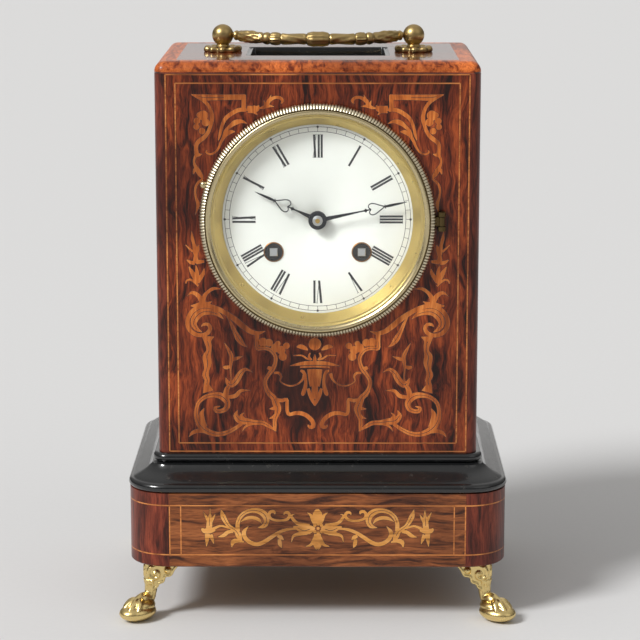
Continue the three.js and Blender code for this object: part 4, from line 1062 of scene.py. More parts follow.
def minute_tree():
    """The minute track: marks and quarter-hour dots set round two thin circles."""
    s = sizes()
    tree = Tree("minute_track_rule", [("Outer", "NodeSocketFloat", s.minute_outer),
                                      ("Inner", "NodeSocketFloat", s.minute_inner),
                                      ("Line", "NodeSocketFloat", 0.11 * MM),
                                      ("Dot", "NodeSocketFloat", 0.55 * MM),
                                      ("Middle", "NodeSocketVector",
                                       (0, (FRONT_Y - FACE_F) * MM, DIAL_Z * MM))])
    outer, inner = tree.given("Outer"), tree.given("Inner")
    line = tree.given("Line")
    index = tree.node("GeometryNodeInputIndex").outputs["Index"]
    parts = []
    for radius in (outer, inner):
        round_line = tree.node("GeometryNodeCurvePrimitiveCircle", {"Resolution": 180,
                                                                    "Radius": radius})
        bead = tree.node("GeometryNodeCurvePrimitiveCircle", {"Resolution": 4, "Radius": line})
        ring = tree.node("GeometryNodeCurveToMesh", {"Curve": round_line.outputs["Curve"],
                                                     "Profile Curve": bead.outputs["Curve"]})
        parts.append(ring.outputs["Mesh"])
    middle = tree.sum("MULTIPLY", tree.sum("ADD", outer, inner), 0.5)
    reach = tree.sum("SUBTRACT", outer, inner)
    size = tree.node("ShaderNodeCombineXYZ", {"X": tree.sum("MULTIPLY", line, 1.8), "Y": reach,
                                              "Z": 0.05 * MM})
    tick = tree.node("GeometryNodeMeshCube", {"Size": size.outputs["Vector"]})
    dot = tree.node("GeometryNodeMeshCylinder", {"Vertices": 14, "Radius": tree.given("Dot"),
                                                 "Depth": 0.05 * MM})
    for count, instance, away in ((60, tick.outputs["Mesh"], middle),
                                  (12, dot.outputs["Mesh"], outer)):
        dots = tree.node("GeometryNodeMeshLine", {"Count": count, "Offset": (0, 0, 0)})
        angle = tree.sum("MULTIPLY", index, 2 * math.pi / count)
        spot = tree.node("ShaderNodeCombineXYZ",
                         {"X": tree.sum("MULTIPLY", tree.sum("SINE", angle), away),
                          "Y": tree.sum("MULTIPLY", tree.sum("COSINE", angle), away)})
        set_out = tree.node("GeometryNodeSetPosition", {"Geometry": dots.outputs["Mesh"],
                                                        "Position": spot.outputs["Vector"]})
        back = tree.node("ShaderNodeCombineXYZ", {"Z": tree.sum("MULTIPLY", angle, -1.0)})
        copies = tree.node("GeometryNodeInstanceOnPoints",
                           {"Points": set_out.outputs["Geometry"], "Instance": instance,
                            "Rotation": back.outputs["Vector"]})
        parts.append(copies.outputs["Instances"])
    both = tree.node("GeometryNodeJoinGeometry")
    for part in parts:
        tree.group.links.new(part, both.inputs["Geometry"])
    stood = tree.node("GeometryNodeTransform", {"Geometry": both.outputs["Geometry"],
                                                "Translation": tree.given("Middle"),
                                                "Rotation": (math.pi / 2, 0, 0),
                                                "Scale": (1, 1, 0.5)})
    tree.end(stood.outputs["Geometry"], material("ink"))
    return tree


class CLOCK_OT_dial(ClockOperator):
    """Enamel dial with its numerals, minute track and winding holes"""
    bl_idname = "clock.dial"
    bl_label = "Dial"

    def build(self):
        make("enamel_dial_plate", dial_plate(), ["enamel"], "case", ["enamel_dial"],
             angle=40)
        make("dial_numerals", numerals(), ["ink"], "case", merge=0.00001)
        minute_tree().bake("dial_minute_track", "case", slot="enamel")
        for word, side in (("left", -1), ("right", 1)):
            make("winding_lip_" + word, wind_well(side), ["copper", "soot"], "case",
                 ["winding_grommet_" + word])
        for word, side in (("going", -1), ("strike", 1)):
            make(word + "_winding_square", wind_square(side), ["steel"], word + "_winder")


# ---- hands ----
def hand(long, bead, heart, heart_long, heart_wide, hub_r, hole_r, back, angle):
    """A slim blued hand: stem, small cross, open heart, second cross and a tapering blade."""
    shape = Shape()
    thick = 0.7
    turn = math.radians(angle)

    def put(x, z, f):
        return (x * math.cos(turn) + z * math.sin(turn), FRONT_Y - f,
                DIAL_Z - x * math.sin(turn) + z * math.cos(turn))

    def strip(points):
        path = smooth_path(points, 0.35)
        loops = []
        for i, here in enumerate(path):
            before, after = path[max(i - 1, 0)], path[min(i + 1, len(path) - 1)]
            way = Vector((after.x - before.x, after.y - before.y)).normalized()
            half = max(here.z, 0.05)
            loops.append([put(here.x - way.y * w * half, here.y + way.x * w * half, back + f)
                          for w, f in ((1, 0), (1, thick * 0.6), (0.6, thick), (-0.6, thick),
                                       (-1, thick * 0.6), (-1, 0))])
        shape.loft(loops, ends=True)

    point = heart + heart_long
    strip([(0, hub_r - 0.5, 0.95), (0, (hub_r + bead) / 2, 0.55), (0, bead - 1.2, 0.3),
           (0, heart, 0.26)])
    strip([(0, bead - 1.2, 0.2), (0, bead, 0.62), (0, bead + 1.1, 0.2)])
    strip([(-0.85, bead, 0.26), (0.85, bead, 0.26)])
    for side in (-1, 1):
        strip([(side * heart_wide * x, heart + z, 0.24)
               for x, z in ((0, 0), (0.2, -0.85), (0.4, -0.6), (0.5, 0.45), (0.45, 1.9),
                            (0.27, 3.7), (0.09, heart_long * 0.85), (0, heart_long))])
    strip([(-0.85, point + 0.1, 0.27), (0.85, point + 0.1, 0.27)])
    strip([(0, point - 0.4, 0.3), (0, point + 1.6, 0.55), (0, point + 3.0, 0.58),
           (0, (point + long) / 2 + 1.5, 0.42), (0, long, 0.06)])
    rings = [(hole_r, back), (hub_r, back), (hub_r, back + thick - 0.15),
             (hub_r - 0.15, back + thick), (hole_r, back + thick)]
    shape.loft([circle_xz(r, FRONT_Y - f, 40, 0, DIAL_Z) for r, f in rings], around=True)
    return shape


HANDS = {
    "minute_hand": ("centre_arbor", dict(long=40.8, bead=21.9, heart=24.3, heart_long=6.4,
                                         heart_wide=5.1, hole_r=1.85, back=-1.0, angle=78.1)),
    "hour_hand": ("hour_pipe", dict(long=30.6, bead=12.4, heart=14.7, heart_long=6.3,
                                    heart_wide=5.5, hole_r=2.7, back=-2.6, angle=294.4)),
}


class CLOCK_OT_hands(ClockOperator):
    """Blued heart hands and the nut that holds them"""
    bl_idname = "clock.hands"
    bl_label = "Hands"

    def build(self):
        for node, (body, measures) in HANDS.items():
            make(node + "_blued", hand(hub_r=4.1, **measures), ["blued"], body, [node])
        nut = turned_ring([(1.15, -0.2), (2.3, -0.2), (2.3, 0.35), (2.05, 0.6), (1.7, 0.55),
                           (1.5, 0.8), (1.15, 0.8)], 32)
        make("hand_collet", nut, ["steel"], "centre_arbor", ["hand_nut"])


# ---- shapes of the inlay ----
# A scroll has a name and its centre line as (across, up, width), and a petal is (across, up,
# radius), in millimetres. They are the left half's, and the right half mirrors them.
LOWER_SCROLLS = (
    ("horn_left", ((-58.8, 149.3, 0.1), (-56.4, 150.8, 1.5), (-53.9, 149.6, 2.0),
        (-52.2, 147.0, 2.5), (-51.7, 144.3, 2.5))),
    ("horn_right", ((-43.6, 152.6, 0.4), (-47.0, 152.6, 1.4), (-49.7, 150.8, 1.5),
        (-51.2, 148.6, 2.0), (-51.7, 145.8, 2.2))),
    ("horn_lobe", ((-47.5, 146.8, 0.3), (-49.5, 145.8, 1.6), (-52.0, 145.8, 2.0),
        (-54.9, 144.8, 1.7), (-57.1, 144.8, 0.5))),
    ("snail", ((-23.7, 133.1, 0.2), (-26.9, 132.2, 1.7), (-30.3, 133.0, 2.2), (-33.8, 135.5, 2.5),
        (-37.2, 138.5, 2.5), (-41.6, 141.5, 2.2), (-45.6, 143.6, 2.1), (-50.0, 144.8, 2.0),
        (-53.9, 144.0, 2.0), (-57.1, 141.5, 2.0), (-58.6, 138.0, 2.0), (-58.2, 134.5, 2.0),
        (-55.9, 132.0, 2.0), (-52.9, 131.2, 1.8), (-50.0, 132.0, 1.9), (-48.5, 134.2, 1.8),
        (-49.3, 136.2, 1.6), (-51.5, 136.2, 1.2), (-52.4, 135.2, 0.4))),
    ("snail_leaf", ((-42.4, 138.7, 0.3), (-45.1, 141.0, 2.0), (-48.5, 142.0, 2.7),
        (-52.0, 141.8, 3.2), (-54.9, 139.5, 3.4), (-55.9, 136.5, 2.7), (-54.4, 134.0, 1.8),
        (-52.2, 132.7, 0.4))),
    ("falling_leaf", ((-40.7, 140.0, 0.5), (-38.7, 136.0, 1.5), (-37.2, 132.5, 2.0),
        (-35.5, 129.4, 2.7), (-33.5, 126.9, 1.4), (-31.8, 125.8, 0.1))),
    ("column", ((-49.6, 130.8, 5.8), (-49.7, 128.4, 3.2), (-49.2, 126.4, 2.7), (-49.2, 123.9, 2.3),
        (-50.1, 121.4, 3.8), (-49.8, 118.4, 3.8), (-50.2, 115.4, 2.5), (-50.8, 112.8, 3.0),
        (-50.0, 110.3, 2.5), (-50.4, 108.3, 2.7), (-49.6, 105.0, 5.1))),
    ("low_scroll", ((-44.3, 98.3, 0.3), (-46.5, 97.6, 1.5), (-46.0, 96.2, 2.0), (-44.0, 96.0, 1.9),
        (-41.6, 97.2, 2.3), (-40.9, 99.8, 2.7), (-42.6, 102.3, 3.2), (-45.3, 103.5, 2.8),
        (-49.0, 103.3, 2.0), (-52.0, 102.0, 1.8), (-54.2, 99.8, 1.7), (-55.1, 96.7, 1.7),
        (-55.1, 93.7, 2.1), (-54.2, 90.7, 2.7), (-52.4, 88.2, 3.1), (-49.5, 86.2, 2.7),
        (-45.6, 85.2, 2.2), (-41.6, 85.9, 2.0), (-37.7, 87.9, 1.7), (-34.5, 90.1, 1.5))),
    ("low_tail", ((-58.6, 83.9, 0.1), (-56.9, 85.9, 1.6), (-53.9, 86.8, 1.9), (-50.0, 86.3, 1.5))),
    ("low_leaf", ((-51.6, 97.3, 0.3), (-52.8, 94.5, 2.2), (-52.2, 91.7, 2.0), (-51.7, 88.7, 2.9))),
    ("foot_leaf", ((-36.3, 96.5, 0.2), (-37.2, 94.0, 2.2), (-35.3, 91.7, 3.2), (-31.8, 91.2, 2.9),
        (-28.4, 90.7, 2.3), (-24.9, 90.5, 2.0), (-22.0, 88.9, 1.7), (-18.7, 86.6, 0.2))),
    ("foot_lobe", ((-33.3, 95.3, 0.2), (-34.7, 94.0, 1.4), (-33.5, 91.5, 2.5))),
    ("foot_curl", ((-34.2, 86.6, 0.2), (-33.5, 88.1, 0.8), (-31.8, 89.4, 1.1),
        (-28.9, 90.3, 1.2))),
    ("sprig", ((-41.9, 102.8, 2.7), (-41.1, 106.3, 2.2), (-39.7, 108.6, 1.5), (-39.2, 111.3, 0.7),
        (-39.4, 115.4, 0.8), (-39.2, 118.4, 1.5), (-38.9, 121.4, 1.9), (-40.2, 124.4, 1.4),
        (-42.1, 127.8, 0.1))),
    ("sprig_leaf", ((-41.6, 111.6, 0.2), (-40.6, 109.1, 2.2), (-38.9, 108.3, 2.6),
        (-36.7, 110.6, 3.0), (-34.8, 113.8, 2.5), (-32.6, 115.5, 1.4), (-29.5, 114.2, 0.1))),
    ("sprig_twig", ((-39.7, 119.6, 1.3), (-36.7, 120.5, 1.5), (-33.9, 121.5, 0.1))),
    ("sprig_bud", ((-42.8, 116.6, 1.0), (-41.1, 116.3, 1.8), (-39.2, 117.1, 0.8))),
    ("sprig_low", ((-41.1, 102.5, 1.5), (-37.2, 103.2, 1.9), (-34.8, 105.5, 1.5),
        (-30.7, 105.7, 0.1))),
    ("strap", ((-27.3, 132.5, 2.3), (-27.4, 128.4, 1.7), (-27.2, 125.3, 2.0), (-24.0, 125.3, 1.7),
        (-21.0, 124.2, 1.7), (-19.1, 121.4, 1.7), (-19.2, 118.4, 1.7), (-20.3, 115.6, 2.0),
        (-22.0, 113.3, 1.8), (-23.7, 110.3, 1.8), (-23.5, 107.3, 1.8), (-22.0, 104.3, 2.3),
        (-20.0, 102.3, 2.7), (-19.0, 99.8, 3.2), (-18.1, 97.2, 3.2), (-18.5, 94.7, 2.3),
        (-19.4, 92.2, 1.8), (-19.5, 89.2, 1.8), (-19.2, 86.6, 0.8))),
    ("strap_knob", ((-22.7, 116.4, 1.3), (-21.3, 115.8, 1.9), (-19.5, 115.6, 1.0))),
    ("strap_step", ((-19.1, 101.3, 1.7), (-16.1, 101.0, 1.7), (-14.0, 101.5, 1.5),
        (-13.9, 98.8, 1.5), (-13.7, 95.6, 1.6), (-12.7, 94.5, 1.6), (-10.2, 95.1, 1.7),
        (-7.3, 95.0, 1.9), (-4.6, 93.7, 1.9), (-2.3, 91.2, 2.0), (-2.0, 88.9, 2.0),
        (-3.7, 88.6, 1.5), (-4.4, 89.7, 0.4))),
    ("spur_low", ((-22.1, 92.6, 0.1), (-20.0, 93.3, 1.5), (-18.1, 95.0, 2.2))),
    ("spur_high", ((-22.1, 97.1, 0.1), (-20.0, 97.3, 1.7), (-17.8, 98.0, 2.2))),
    ("festoon", ((-19.8, 113.8, 1.0), (-17.6, 113.8, 1.2), (-16.5, 112.1, 1.0),
        (-17.0, 110.2, 0.6), (-15.1, 108.6, 0.6), (-12.2, 107.8, 0.7), (-9.2, 108.6, 0.7),
        (-6.8, 110.8, 1.0), (-5.8, 113.6, 1.7))),
    ("dial_leaf", ((-56.4, 178.8, 0.2), (-56.1, 175.6, 1.4), (-55.4, 172.8, 1.5),
        (-54.7, 169.8, 2.6), (-54.6, 167.2, 1.6))),
    ("dial_lobe", ((-53.4, 172.6, 0.3), (-53.7, 170.6, 1.6), (-54.4, 168.8, 1.6))),
    ("dial_twig", ((-59.2, 172.6, 0.3), (-57.5, 170.9, 0.8), (-55.9, 169.5, 1.0))),
    ("dial_cup", ((-54.7, 168.1, 1.4), (-54.7, 165.8, 2.4), (-54.7, 164.2, 1.4))),
    ("dial_wing_out", ((-58.7, 165.8, 0.4), (-57.0, 164.6, 1.6), (-55.0, 164.4, 1.8))),
    ("dial_wing_in", ((-50.9, 165.0, 1.0), (-53.1, 164.9, 1.9), (-54.6, 164.4, 1.4))),
    ("tulip_left", ((-57.8, 162.7, 0.4), (-56.4, 160.1, 1.9), (-54.7, 157.3, 2.6),
        (-53.7, 155.0, 1.6))),
    ("tulip_middle", ((-54.7, 163.3, 0.3), (-54.2, 160.7, 1.5), (-54.0, 157.5, 2.0))),
    ("tulip_right", ((-50.9, 161.8, 0.3), (-51.4, 159.6, 1.6), (-52.8, 157.3, 1.9),
        (-53.6, 155.4, 1.2))),
    ("tulip_curl", ((-59.2, 155.0, 0.6), (-58.9, 156.2, 0.8), (-57.3, 156.8, 1.0),
        (-55.3, 155.6, 1.0), (-53.6, 153.8, 0.9))),
)
URN_SCROLLS = (
    ("urn_rim", ((-11.2, 117.1, 0.2), (-8.4, 117.7, 1.1), (-4.5, 118.3, 1.8), (0, 118.5, 1.9))),
    ("urn_lip", ((-6.7, 116.5, 0.6), (-3.2, 116.7, 0.8), (0, 116.8, 0.8))),
    ("urn_body", ((-1.7, 115.6, 3.4), (-1.5, 111.5, 3.0), (-1.1, 107.6, 2.3))),
    ("urn_cup", ((-3.0, 106.6, 1.2), (-2.2, 104.0, 1.8), (-1.1, 101.4, 1.8), (0, 98.6, 0.5))),
    ("urn_drop", ((0, 112.3, 0.6), (0, 108.6, 2.4), (0, 104.6, 2.8), (0, 101.8, 0.5))),
    ("urn_handle", ((-6.5, 114.9, 0.8), (-5.4, 114.5, 1.5), (-4.5, 112.8, 1.4), (-4.1, 109.5, 1.4),
        (-4.6, 106.2, 1.9), (-5.4, 104.0, 1.7), (-5.6, 103.2, 0.4))),
    ("urn_twig", ((-9.6, 121.9, 0.4), (-5.8, 121.9, 0.7), (-3.8, 120.6, 0.8), (-1.8, 119.9, 0.7))),
    ("urn_leaf", ((-3.1, 124.4, 0.5), (-4.6, 125.4, 1.9), (-6.6, 126.1, 2.0), (-8.2, 125.8, 0.5))),
    ("urn_loop", ((-2.1, 123.1, 0.6), (-2.7, 121.4, 0.9), (-1.4, 119.9, 0.8))),
    ("urn_bud", ((0, 122.4, 0.3), (0, 120.9, 1.2), (0, 119.4, 1.5))),
)
LOWER_PETALS = ((-24.7, 128.0, 2.1), (-22.0, 127.8, 1.8), (-19.0, 125.4, 2.1), (-16.5, 124.4, 2.0),
    (-15.7, 121.4, 1.9), (-18.0, 127.4, 1.3), (-14.1, 126.4, 1.5))
URN_SHIFT = -1.27           # the urn stands a little left of the middle
URN_PETALS = ((0, 127.2, 2.9),)
UPPER_SCROLLS = (
    ("bar", ((-55.9, 240.1, 0.1), (-52.7, 239.2, 1.8), (-49.8, 238.7, 2.7), (-41.3, 238.8, 2.4),
        (-31.9, 238.9, 2.4))),
    ("bar_leg", ((-32.7, 239.8, 2.0), (-32.7, 236.4, 2.0), (-32.8, 232.7, 1.8))),
    ("bar_arc", ((-31.6, 233.3, 1.8), (-34.7, 233.2, 1.8), (-37.6, 231.9, 1.9),
        (-40.6, 229.6, 1.7), (-42.0, 227.2, 1.5), (-42.8, 224.6, 1.3), (-43.4, 222.0, 1.2),
        (-44.1, 219.6, 0.3))),
    ("corner_curve", ((-55.7, 239.9, 0.3), (-52.4, 238.7, 1.8), (-49.8, 236.8, 1.6),
        (-48.1, 234.6, 1.5), (-47.0, 232.0, 1.7), (-46.8, 229.0, 1.8), (-47.5, 226.0, 1.6),
        (-48.7, 223.1, 1.7), (-50.5, 220.9, 1.9), (-53.1, 218.9, 1.9), (-54.0, 217.0, 1.7),
        (-53.9, 214.7, 1.7), (-53.4, 213.1, 2.1), (-51.3, 213.5, 0.2))),
    ("side_stem", ((-53.8, 213.4, 1.5), (-54.9, 211.0, 1.0), (-54.8, 209.0, 1.1),
        (-53.7, 206.8, 2.0), (-52.4, 204.5, 2.1), (-51.3, 202.5, 1.0), (-52.9, 201.0, 1.2),
        (-54.2, 199.1, 1.1), (-54.6, 196.6, 0.9), (-54.2, 193.8, 1.1), (-53.4, 191.2, 1.6),
        (-53.8, 188.6, 0.9), (-54.6, 186.3, 0.1))),
    ("side_leaf", ((-55.3, 204.5, 0.4), (-54.8, 206.4, 1.5), (-53.5, 207.1, 1.5))),
    ("curl", ((-36.7, 223.5, 0.4), (-38.7, 223.4, 1.9), (-40.9, 222.0, 1.7), (-42.6, 219.4, 1.3),
        (-43.9, 216.4, 1.0), (-45.7, 214.2, 0.9), (-47.9, 213.4, 0.9), (-49.6, 214.4, 0.8),
        (-49.0, 215.2, 0.3))),
    ("curl_leaf", ((-31.2, 227.1, 0.1), (-33.7, 228.1, 1.6), (-36.5, 227.6, 2.3),
        (-38.7, 226.0, 1.6), (-40.9, 223.8, 1.3), (-42.3, 221.2, 0.4))),
    ("top_leaf", ((-31.3, 234.0, 2.2), (-29.1, 233.5, 3.1), (-26.7, 234.0, 2.6),
        (-26.0, 235.3, 0.1))),
    ("top_leaf_low", ((-31.0, 232.0, 0.4), (-28.4, 232.5, 1.5), (-26.5, 230.8, 0.1))),
    ("top_twig", ((-25.8, 233.9, 0.4), (-24.0, 234.3, 1.5), (-22.1, 235.0, 1.6),
        (-19.2, 234.7, 0.1))),
    ("top_bud", ((-23.8, 237.5, 0.1), (-23.1, 235.7, 1.3), (-22.5, 234.4, 1.1))),
    ("top_curl", ((-22.5, 235.0, 1.1), (-21.6, 237.2, 1.9), (-19.0, 238.7, 1.3),
        (-16.6, 238.6, 1.4), (-15.4, 237.2, 1.5), (-16.2, 236.0, 0.4))),
    ("top_sprout", ((-20.5, 239.8, 0.1), (-21.2, 238.3, 0.9), (-21.6, 236.8, 0.7))),
)
UPPER_PETALS = ((-50.7, 230.7, 2.3), (-53.5, 228.3, 1.5), (-53.7, 225.7, 1.4), (-49.6, 227.7, 1.8),
    (-51.3, 223.8, 1.5), (-52.4, 230.9, 1.3))
FRIEZE_SCROLLS = (
    ("bulb", ((0.3, 47.2, 2.4), (0.3, 49.7, 3.7), (0.3, 52.0, 3.4), (0.3, 53.9, 0.4))),
    ("crown_leaf", ((-0.9, 46.7, 1.8), (-2.2, 48.7, 1.5), (-2.9, 50.8, 1.3), (-4.6, 52.1, 0.2))),
    ("root", ((0.3, 42.1, 2.4), (0.3, 39.2, 3.4), (0.3, 36.9, 3.4), (0.6, 34.5, 0.2))),
    ("root_leaf", ((-0.4, 41.7, 1.8), (-1.5, 39.2, 1.9), (-2.9, 37.0, 1.4), (-5.4, 36.2, 0.2))),
    ("waist", ((-1.7, 44.7, 2.0), (-3.5, 44.3, 4.0), (-6.2, 43.6, 3.6), (-9.0, 44.9, 2.0),
        (-11.0, 45.5, 0.6))),
    ("waist_leaf", ((-5.0, 42.6, 2.0), (-8.2, 42.1, 1.8), (-10.9, 41.1, 1.2), (-11.8, 38.2, 0.2))),
    ("waist_horn", ((-3.7, 45.7, 2.4), (-6.2, 46.3, 2.0), (-9.0, 47.0, 1.6), (-11.0, 48.9, 1.4),
        (-11.8, 50.8, 1.0), (-10.4, 51.3, 0.2))),
    ("tendril", ((-15.2, 51.0, 0.2), (-14.8, 52.0, 1.1), (-13.5, 52.2, 1.4), (-12.6, 50.9, 1.4),
        (-13.5, 49.1, 1.4), (-15.9, 48.4, 1.1), (-18.7, 48.4, 1.1), (-21.1, 49.3, 1.2),
        (-22.0, 51.0, 1.4), (-21.1, 52.6, 1.4), (-19.5, 52.4, 1.4), (-19.3, 51.3, 0.2))),
    ("scroll", ((-6.6, 44.0, 0.2), (-11.0, 44.5, 1.0), (-14.7, 43.9, 1.4), (-17.9, 42.5, 1.6),
        (-21.1, 40.4, 1.8), (-24.4, 38.2, 1.9), (-27.6, 37.2, 1.9), (-30.9, 38.3, 1.9),
        (-32.9, 40.5, 1.9), (-33.3, 43.0, 1.9), (-31.3, 45.7, 0.2))),
    ("scroll_leaf", ((-18.1, 41.3, 1.2), (-16.7, 40.5, 2.0), (-15.3, 39.2, 0.2))),
    ("scroll_bud", ((-17.3, 39.6, 1.5), (-17.0, 37.3, 1.9), (-16.2, 35.5, 0.1))),
    ("arch", ((-36.1, 43.4, 1.9), (-36.1, 47.2, 1.9), (-34.9, 50.1, 1.9), (-32.5, 52.2, 1.9),
        (-29.2, 53.1, 2.1), (-26.0, 52.6, 2.8), (-23.5, 50.5, 3.1), (-23.1, 47.6, 2.4),
        (-24.4, 45.7, 2.0), (-27.1, 45.0, 0.1))),
    ("arch_leaf", ((-34.7, 47.8, 0.2), (-32.1, 49.4, 1.5), (-29.2, 49.7, 1.7), (-26.7, 48.8, 1.5),
        (-25.0, 46.8, 0.2))),
    ("spear", ((-34.7, 38.4, 1.2), (-35.7, 41.3, 2.7), (-36.9, 43.4, 2.0), (-39.8, 45.5, 1.7),
        (-41.4, 47.6, 2.1), (-42.8, 50.5, 2.3), (-43.7, 53.8, 0.1))),
    ("heel", ((-33.3, 38.2, 0.6), (-36.1, 38.9, 1.8), (-38.3, 38.3, 2.2), (-38.9, 35.8, 0.3))),
    ("leg", ((-38.2, 43.3, 1.5), (-40.6, 42.9, 1.7), (-42.6, 41.3, 1.7), (-45.2, 40.6, 0.1))),
    ("stalk", ((-39.8, 44.7, 0.8), (-43.4, 45.8, 1.0), (-45.9, 45.1, 1.2), (-47.9, 43.9, 1.8))),
    ("tulip", ((-48.6, 54.0, 0.1), (-48.6, 51.0, 1.1), (-48.9, 48.0, 2.5), (-49.0, 45.9, 2.7),
        (-49.3, 43.6, 2.8))),
    ("tulip_left", ((-51.6, 52.3, 0.2), (-50.2, 49.7, 1.3), (-49.2, 47.8, 1.4))),
    ("tulip_right", ((-46.2, 51.5, 0.1), (-47.2, 49.5, 1.1), (-48.2, 47.8, 1.4))),
    ("tulip_band", ((-52.4, 44.7, 0.8), (-51.5, 43.6, 2.1), (-48.9, 43.5, 2.4),
        (-46.3, 44.0, 1.2))),
    ("tulip_foot", ((-49.9, 42.1, 2.4), (-50.1, 39.2, 1.7), (-50.4, 36.2, 0.2))),
    ("tulip_toe", ((-48.6, 41.7, 2.0), (-47.7, 39.6, 1.5), (-47.0, 37.4, 0.2))),
)


# ---- stringing and inlay ----
LOW_LINE, HIGH_LINE = 81.1, 245.0     # heights of the front's inner lines
FRIEZE_UPRIGHTS = (67.0, 61.9)


def line_tree(width, proud, plane, finish):
    """Straight light lines let into a flat front: each edge becomes a strip, planed level."""
    tree = Tree("stringing_rule", [("Width", "NodeSocketFloat", width),
                                   ("Level", "NodeSocketFloat", plane - proud)])
    source = tree.group.interface.new_socket("Lines", in_out="INPUT",
                                             socket_type="NodeSocketGeometry")
    tree.group.interface.move(source, 0)
    path = tree.node("GeometryNodeMeshToCurve", {"Mesh": tree.given("Lines")})
    half = tree.sum("MULTIPLY", tree.given("Width"), 0.5)
    rod = tree.node("GeometryNodeCurvePrimitiveCircle", {"Resolution": 12, "Radius": half})
    strip = tree.node("GeometryNodeCurveToMesh", {"Curve": path.outputs["Curve"],
                                                  "Profile Curve": rod.outputs["Curve"],
                                                  "Fill Caps": True})
    where = tree.node("ShaderNodeSeparateXYZ",
                      {"Vector": tree.node("GeometryNodeInputPosition").outputs["Position"]})
    level = tree.sum("MAXIMUM", where.outputs["Y"], tree.given("Level"))
    planed = tree.node("ShaderNodeCombineXYZ", {"X": where.outputs["X"], "Y": level,
                                                "Z": where.outputs["Z"]})
    done = tree.node("GeometryNodeSetPosition", {"Geometry": strip.outputs["Mesh"],
                                                 "Position": planed.outputs["Vector"]})
    tree.end(done.outputs["Geometry"], finish)
    return tree


def edges_mesh(name, pairs, y):
    """Straight lines in an upright plane, as loose edges."""
    mesh = bpy.data.meshes.new(name)
    corners = [(x * MM, y * MM, z * MM) for pair in pairs for x, z in pair]
    mesh.from_pydata(corners, [(i, i + 1) for i in range(0, len(corners), 2)], [])
    return mesh


def box_lines(x, low, high):
    """The four sides of a rectangle about the middle."""
    return [((-x, low), (x, low)), ((-x, high), (x, high)), ((-x, low), (-x, high)),
            ((x, low), (x, high))]


class CLOCK_OT_lines(ClockOperator):
    """Light stringing on the front and on the plinth"""
    bl_idname = "clock.lines"
    bl_label = "Stringing"

    def build(self):
        s = sizes()
        pairs = (box_lines(s.line_outer / MM, CASE_Z + 0.6, SEAM_Z - 0.35)
                 + box_lines(s.line_inner / MM, LOW_LINE, HIGH_LINE))
        tree = line_tree(s.line_width, s.inlay_proud, FRONT_Y * MM, material("line"))
        tree.bake("front_stringing", "case", slot="rosewood",
                  base=edges_mesh("front_lines", pairs, FRONT_Y))
        low, high = FRIEZE_LINES[1], FRIEZE_LINES[0]
        uprights = [((side * x, low), (side * x, high))
                    for side in (-1, 1) for x in FRIEZE_UPRIGHTS]
        tree = line_tree(s.line_width, s.inlay_proud, (FRONT_Y - BASE_OUT) * MM, material("line"))
        tree.bake("frieze_stringing", "case", slot="plinth_veneer",
                  base=edges_mesh("frieze_lines", uprights, FRONT_Y - BASE_OUT))


def inlay_stroke(shape, points, y, proud, grow, finish=0):
    """A leaf or scroll cut from veneer: a strip of changing width on an upright face."""
    path = smooth_path(points, 0.8)
    n = len(path)
    loops = []
    for i, here in enumerate(path):
        before, after = path[max(i - 1, 0)], path[min(i + 1, n - 1)]
        way = Vector((after.x - before.x, after.y - before.y))
        way = way.normalized() if way.length > 1e-6 else Vector((1, 0))
        across = Vector((-way.y, way.x)) * (max(here.z, 0.05) / 2 + grow)
        ends = way * (grow if i == n - 1 else -grow if i == 0 else 0)
        mid = Vector((here.x, here.y)) + ends
        a, b = mid + across, mid - across
        loops.append([(a.x, y + 0.1, a.y), (a.x, y - proud, a.y), (b.x, y - proud, b.y),
                      (b.x, y + 0.1, b.y)])
    shape.loft(loops, finish, ends=True)


def inlay_petal(shape, petal, y, proud, grow, finish=0):
    """A small round piece, given as (x, z, radius)."""
    x, z, r = petal
    ring = circle_xz(r + grow, y - proud, 14, x, z)
    shape.loft([[(px, y + 0.1, pz) for px, _, pz in ring], ring], finish, ends=True)


def inlay_field(name, strokes, petals, y, finish, shift=0.0):
    """Light wood scrolls on both sides of the middle, with the dark line that frames each."""
    proud, kerf = sizes().inlay_proud / MM, sizes().kerf / MM
    shape = Shape()
    step = 0
    for side in (-1, 1):
        placed = [(inlay_stroke, [(side * abs(x) + shift, z, w) for x, z, w in points])
                  for _, points in strokes]
        placed += [(inlay_petal, (side * abs(x) + shift, z, r)) for x, z, r in petals]
        for lay, spec in placed:
            step += 1
            lift = 0.0006 * (step % 30)            # keeps crossing leaves off one level
            lay(shape, spec, y, proud * 0.4 + lift * 0.3, kerf, 1)
            lay(shape, spec, y, proud + lift, 0, 0)
            if lay is inlay_stroke and len(spec) > 4 and max(w for _, _, w in spec) > 2.6:
                vein = [(x, z, 0.04 + 0.07 * w) for x, z, w in spec[1:-1]]
                inlay_stroke(shape, vein, y, proud + lift + 0.004, 0, 1)
    make(name, shape, [finish, "kerf"], "case", merge=0.00001)


def frieze_flower(y, proud):
    """The ring of petals in the middle of the frieze."""
    shape = Shape()
    middle_x, middle_z, ring_r, petal_r, kerf = 0.3, 44.7, 2.1, 0.78, 0.12
    for a in turns(8):
        petal = (middle_x + ring_r * math.cos(a), middle_z + ring_r * math.sin(a), petal_r)
        inlay_petal(shape, petal, y, proud * 0.5, kerf, 1)
        inlay_petal(shape, petal, y, proud, 0, 0)
    inlay_petal(shape, (middle_x, middle_z, 0.7), y, proud, 0, 0)
    return shape


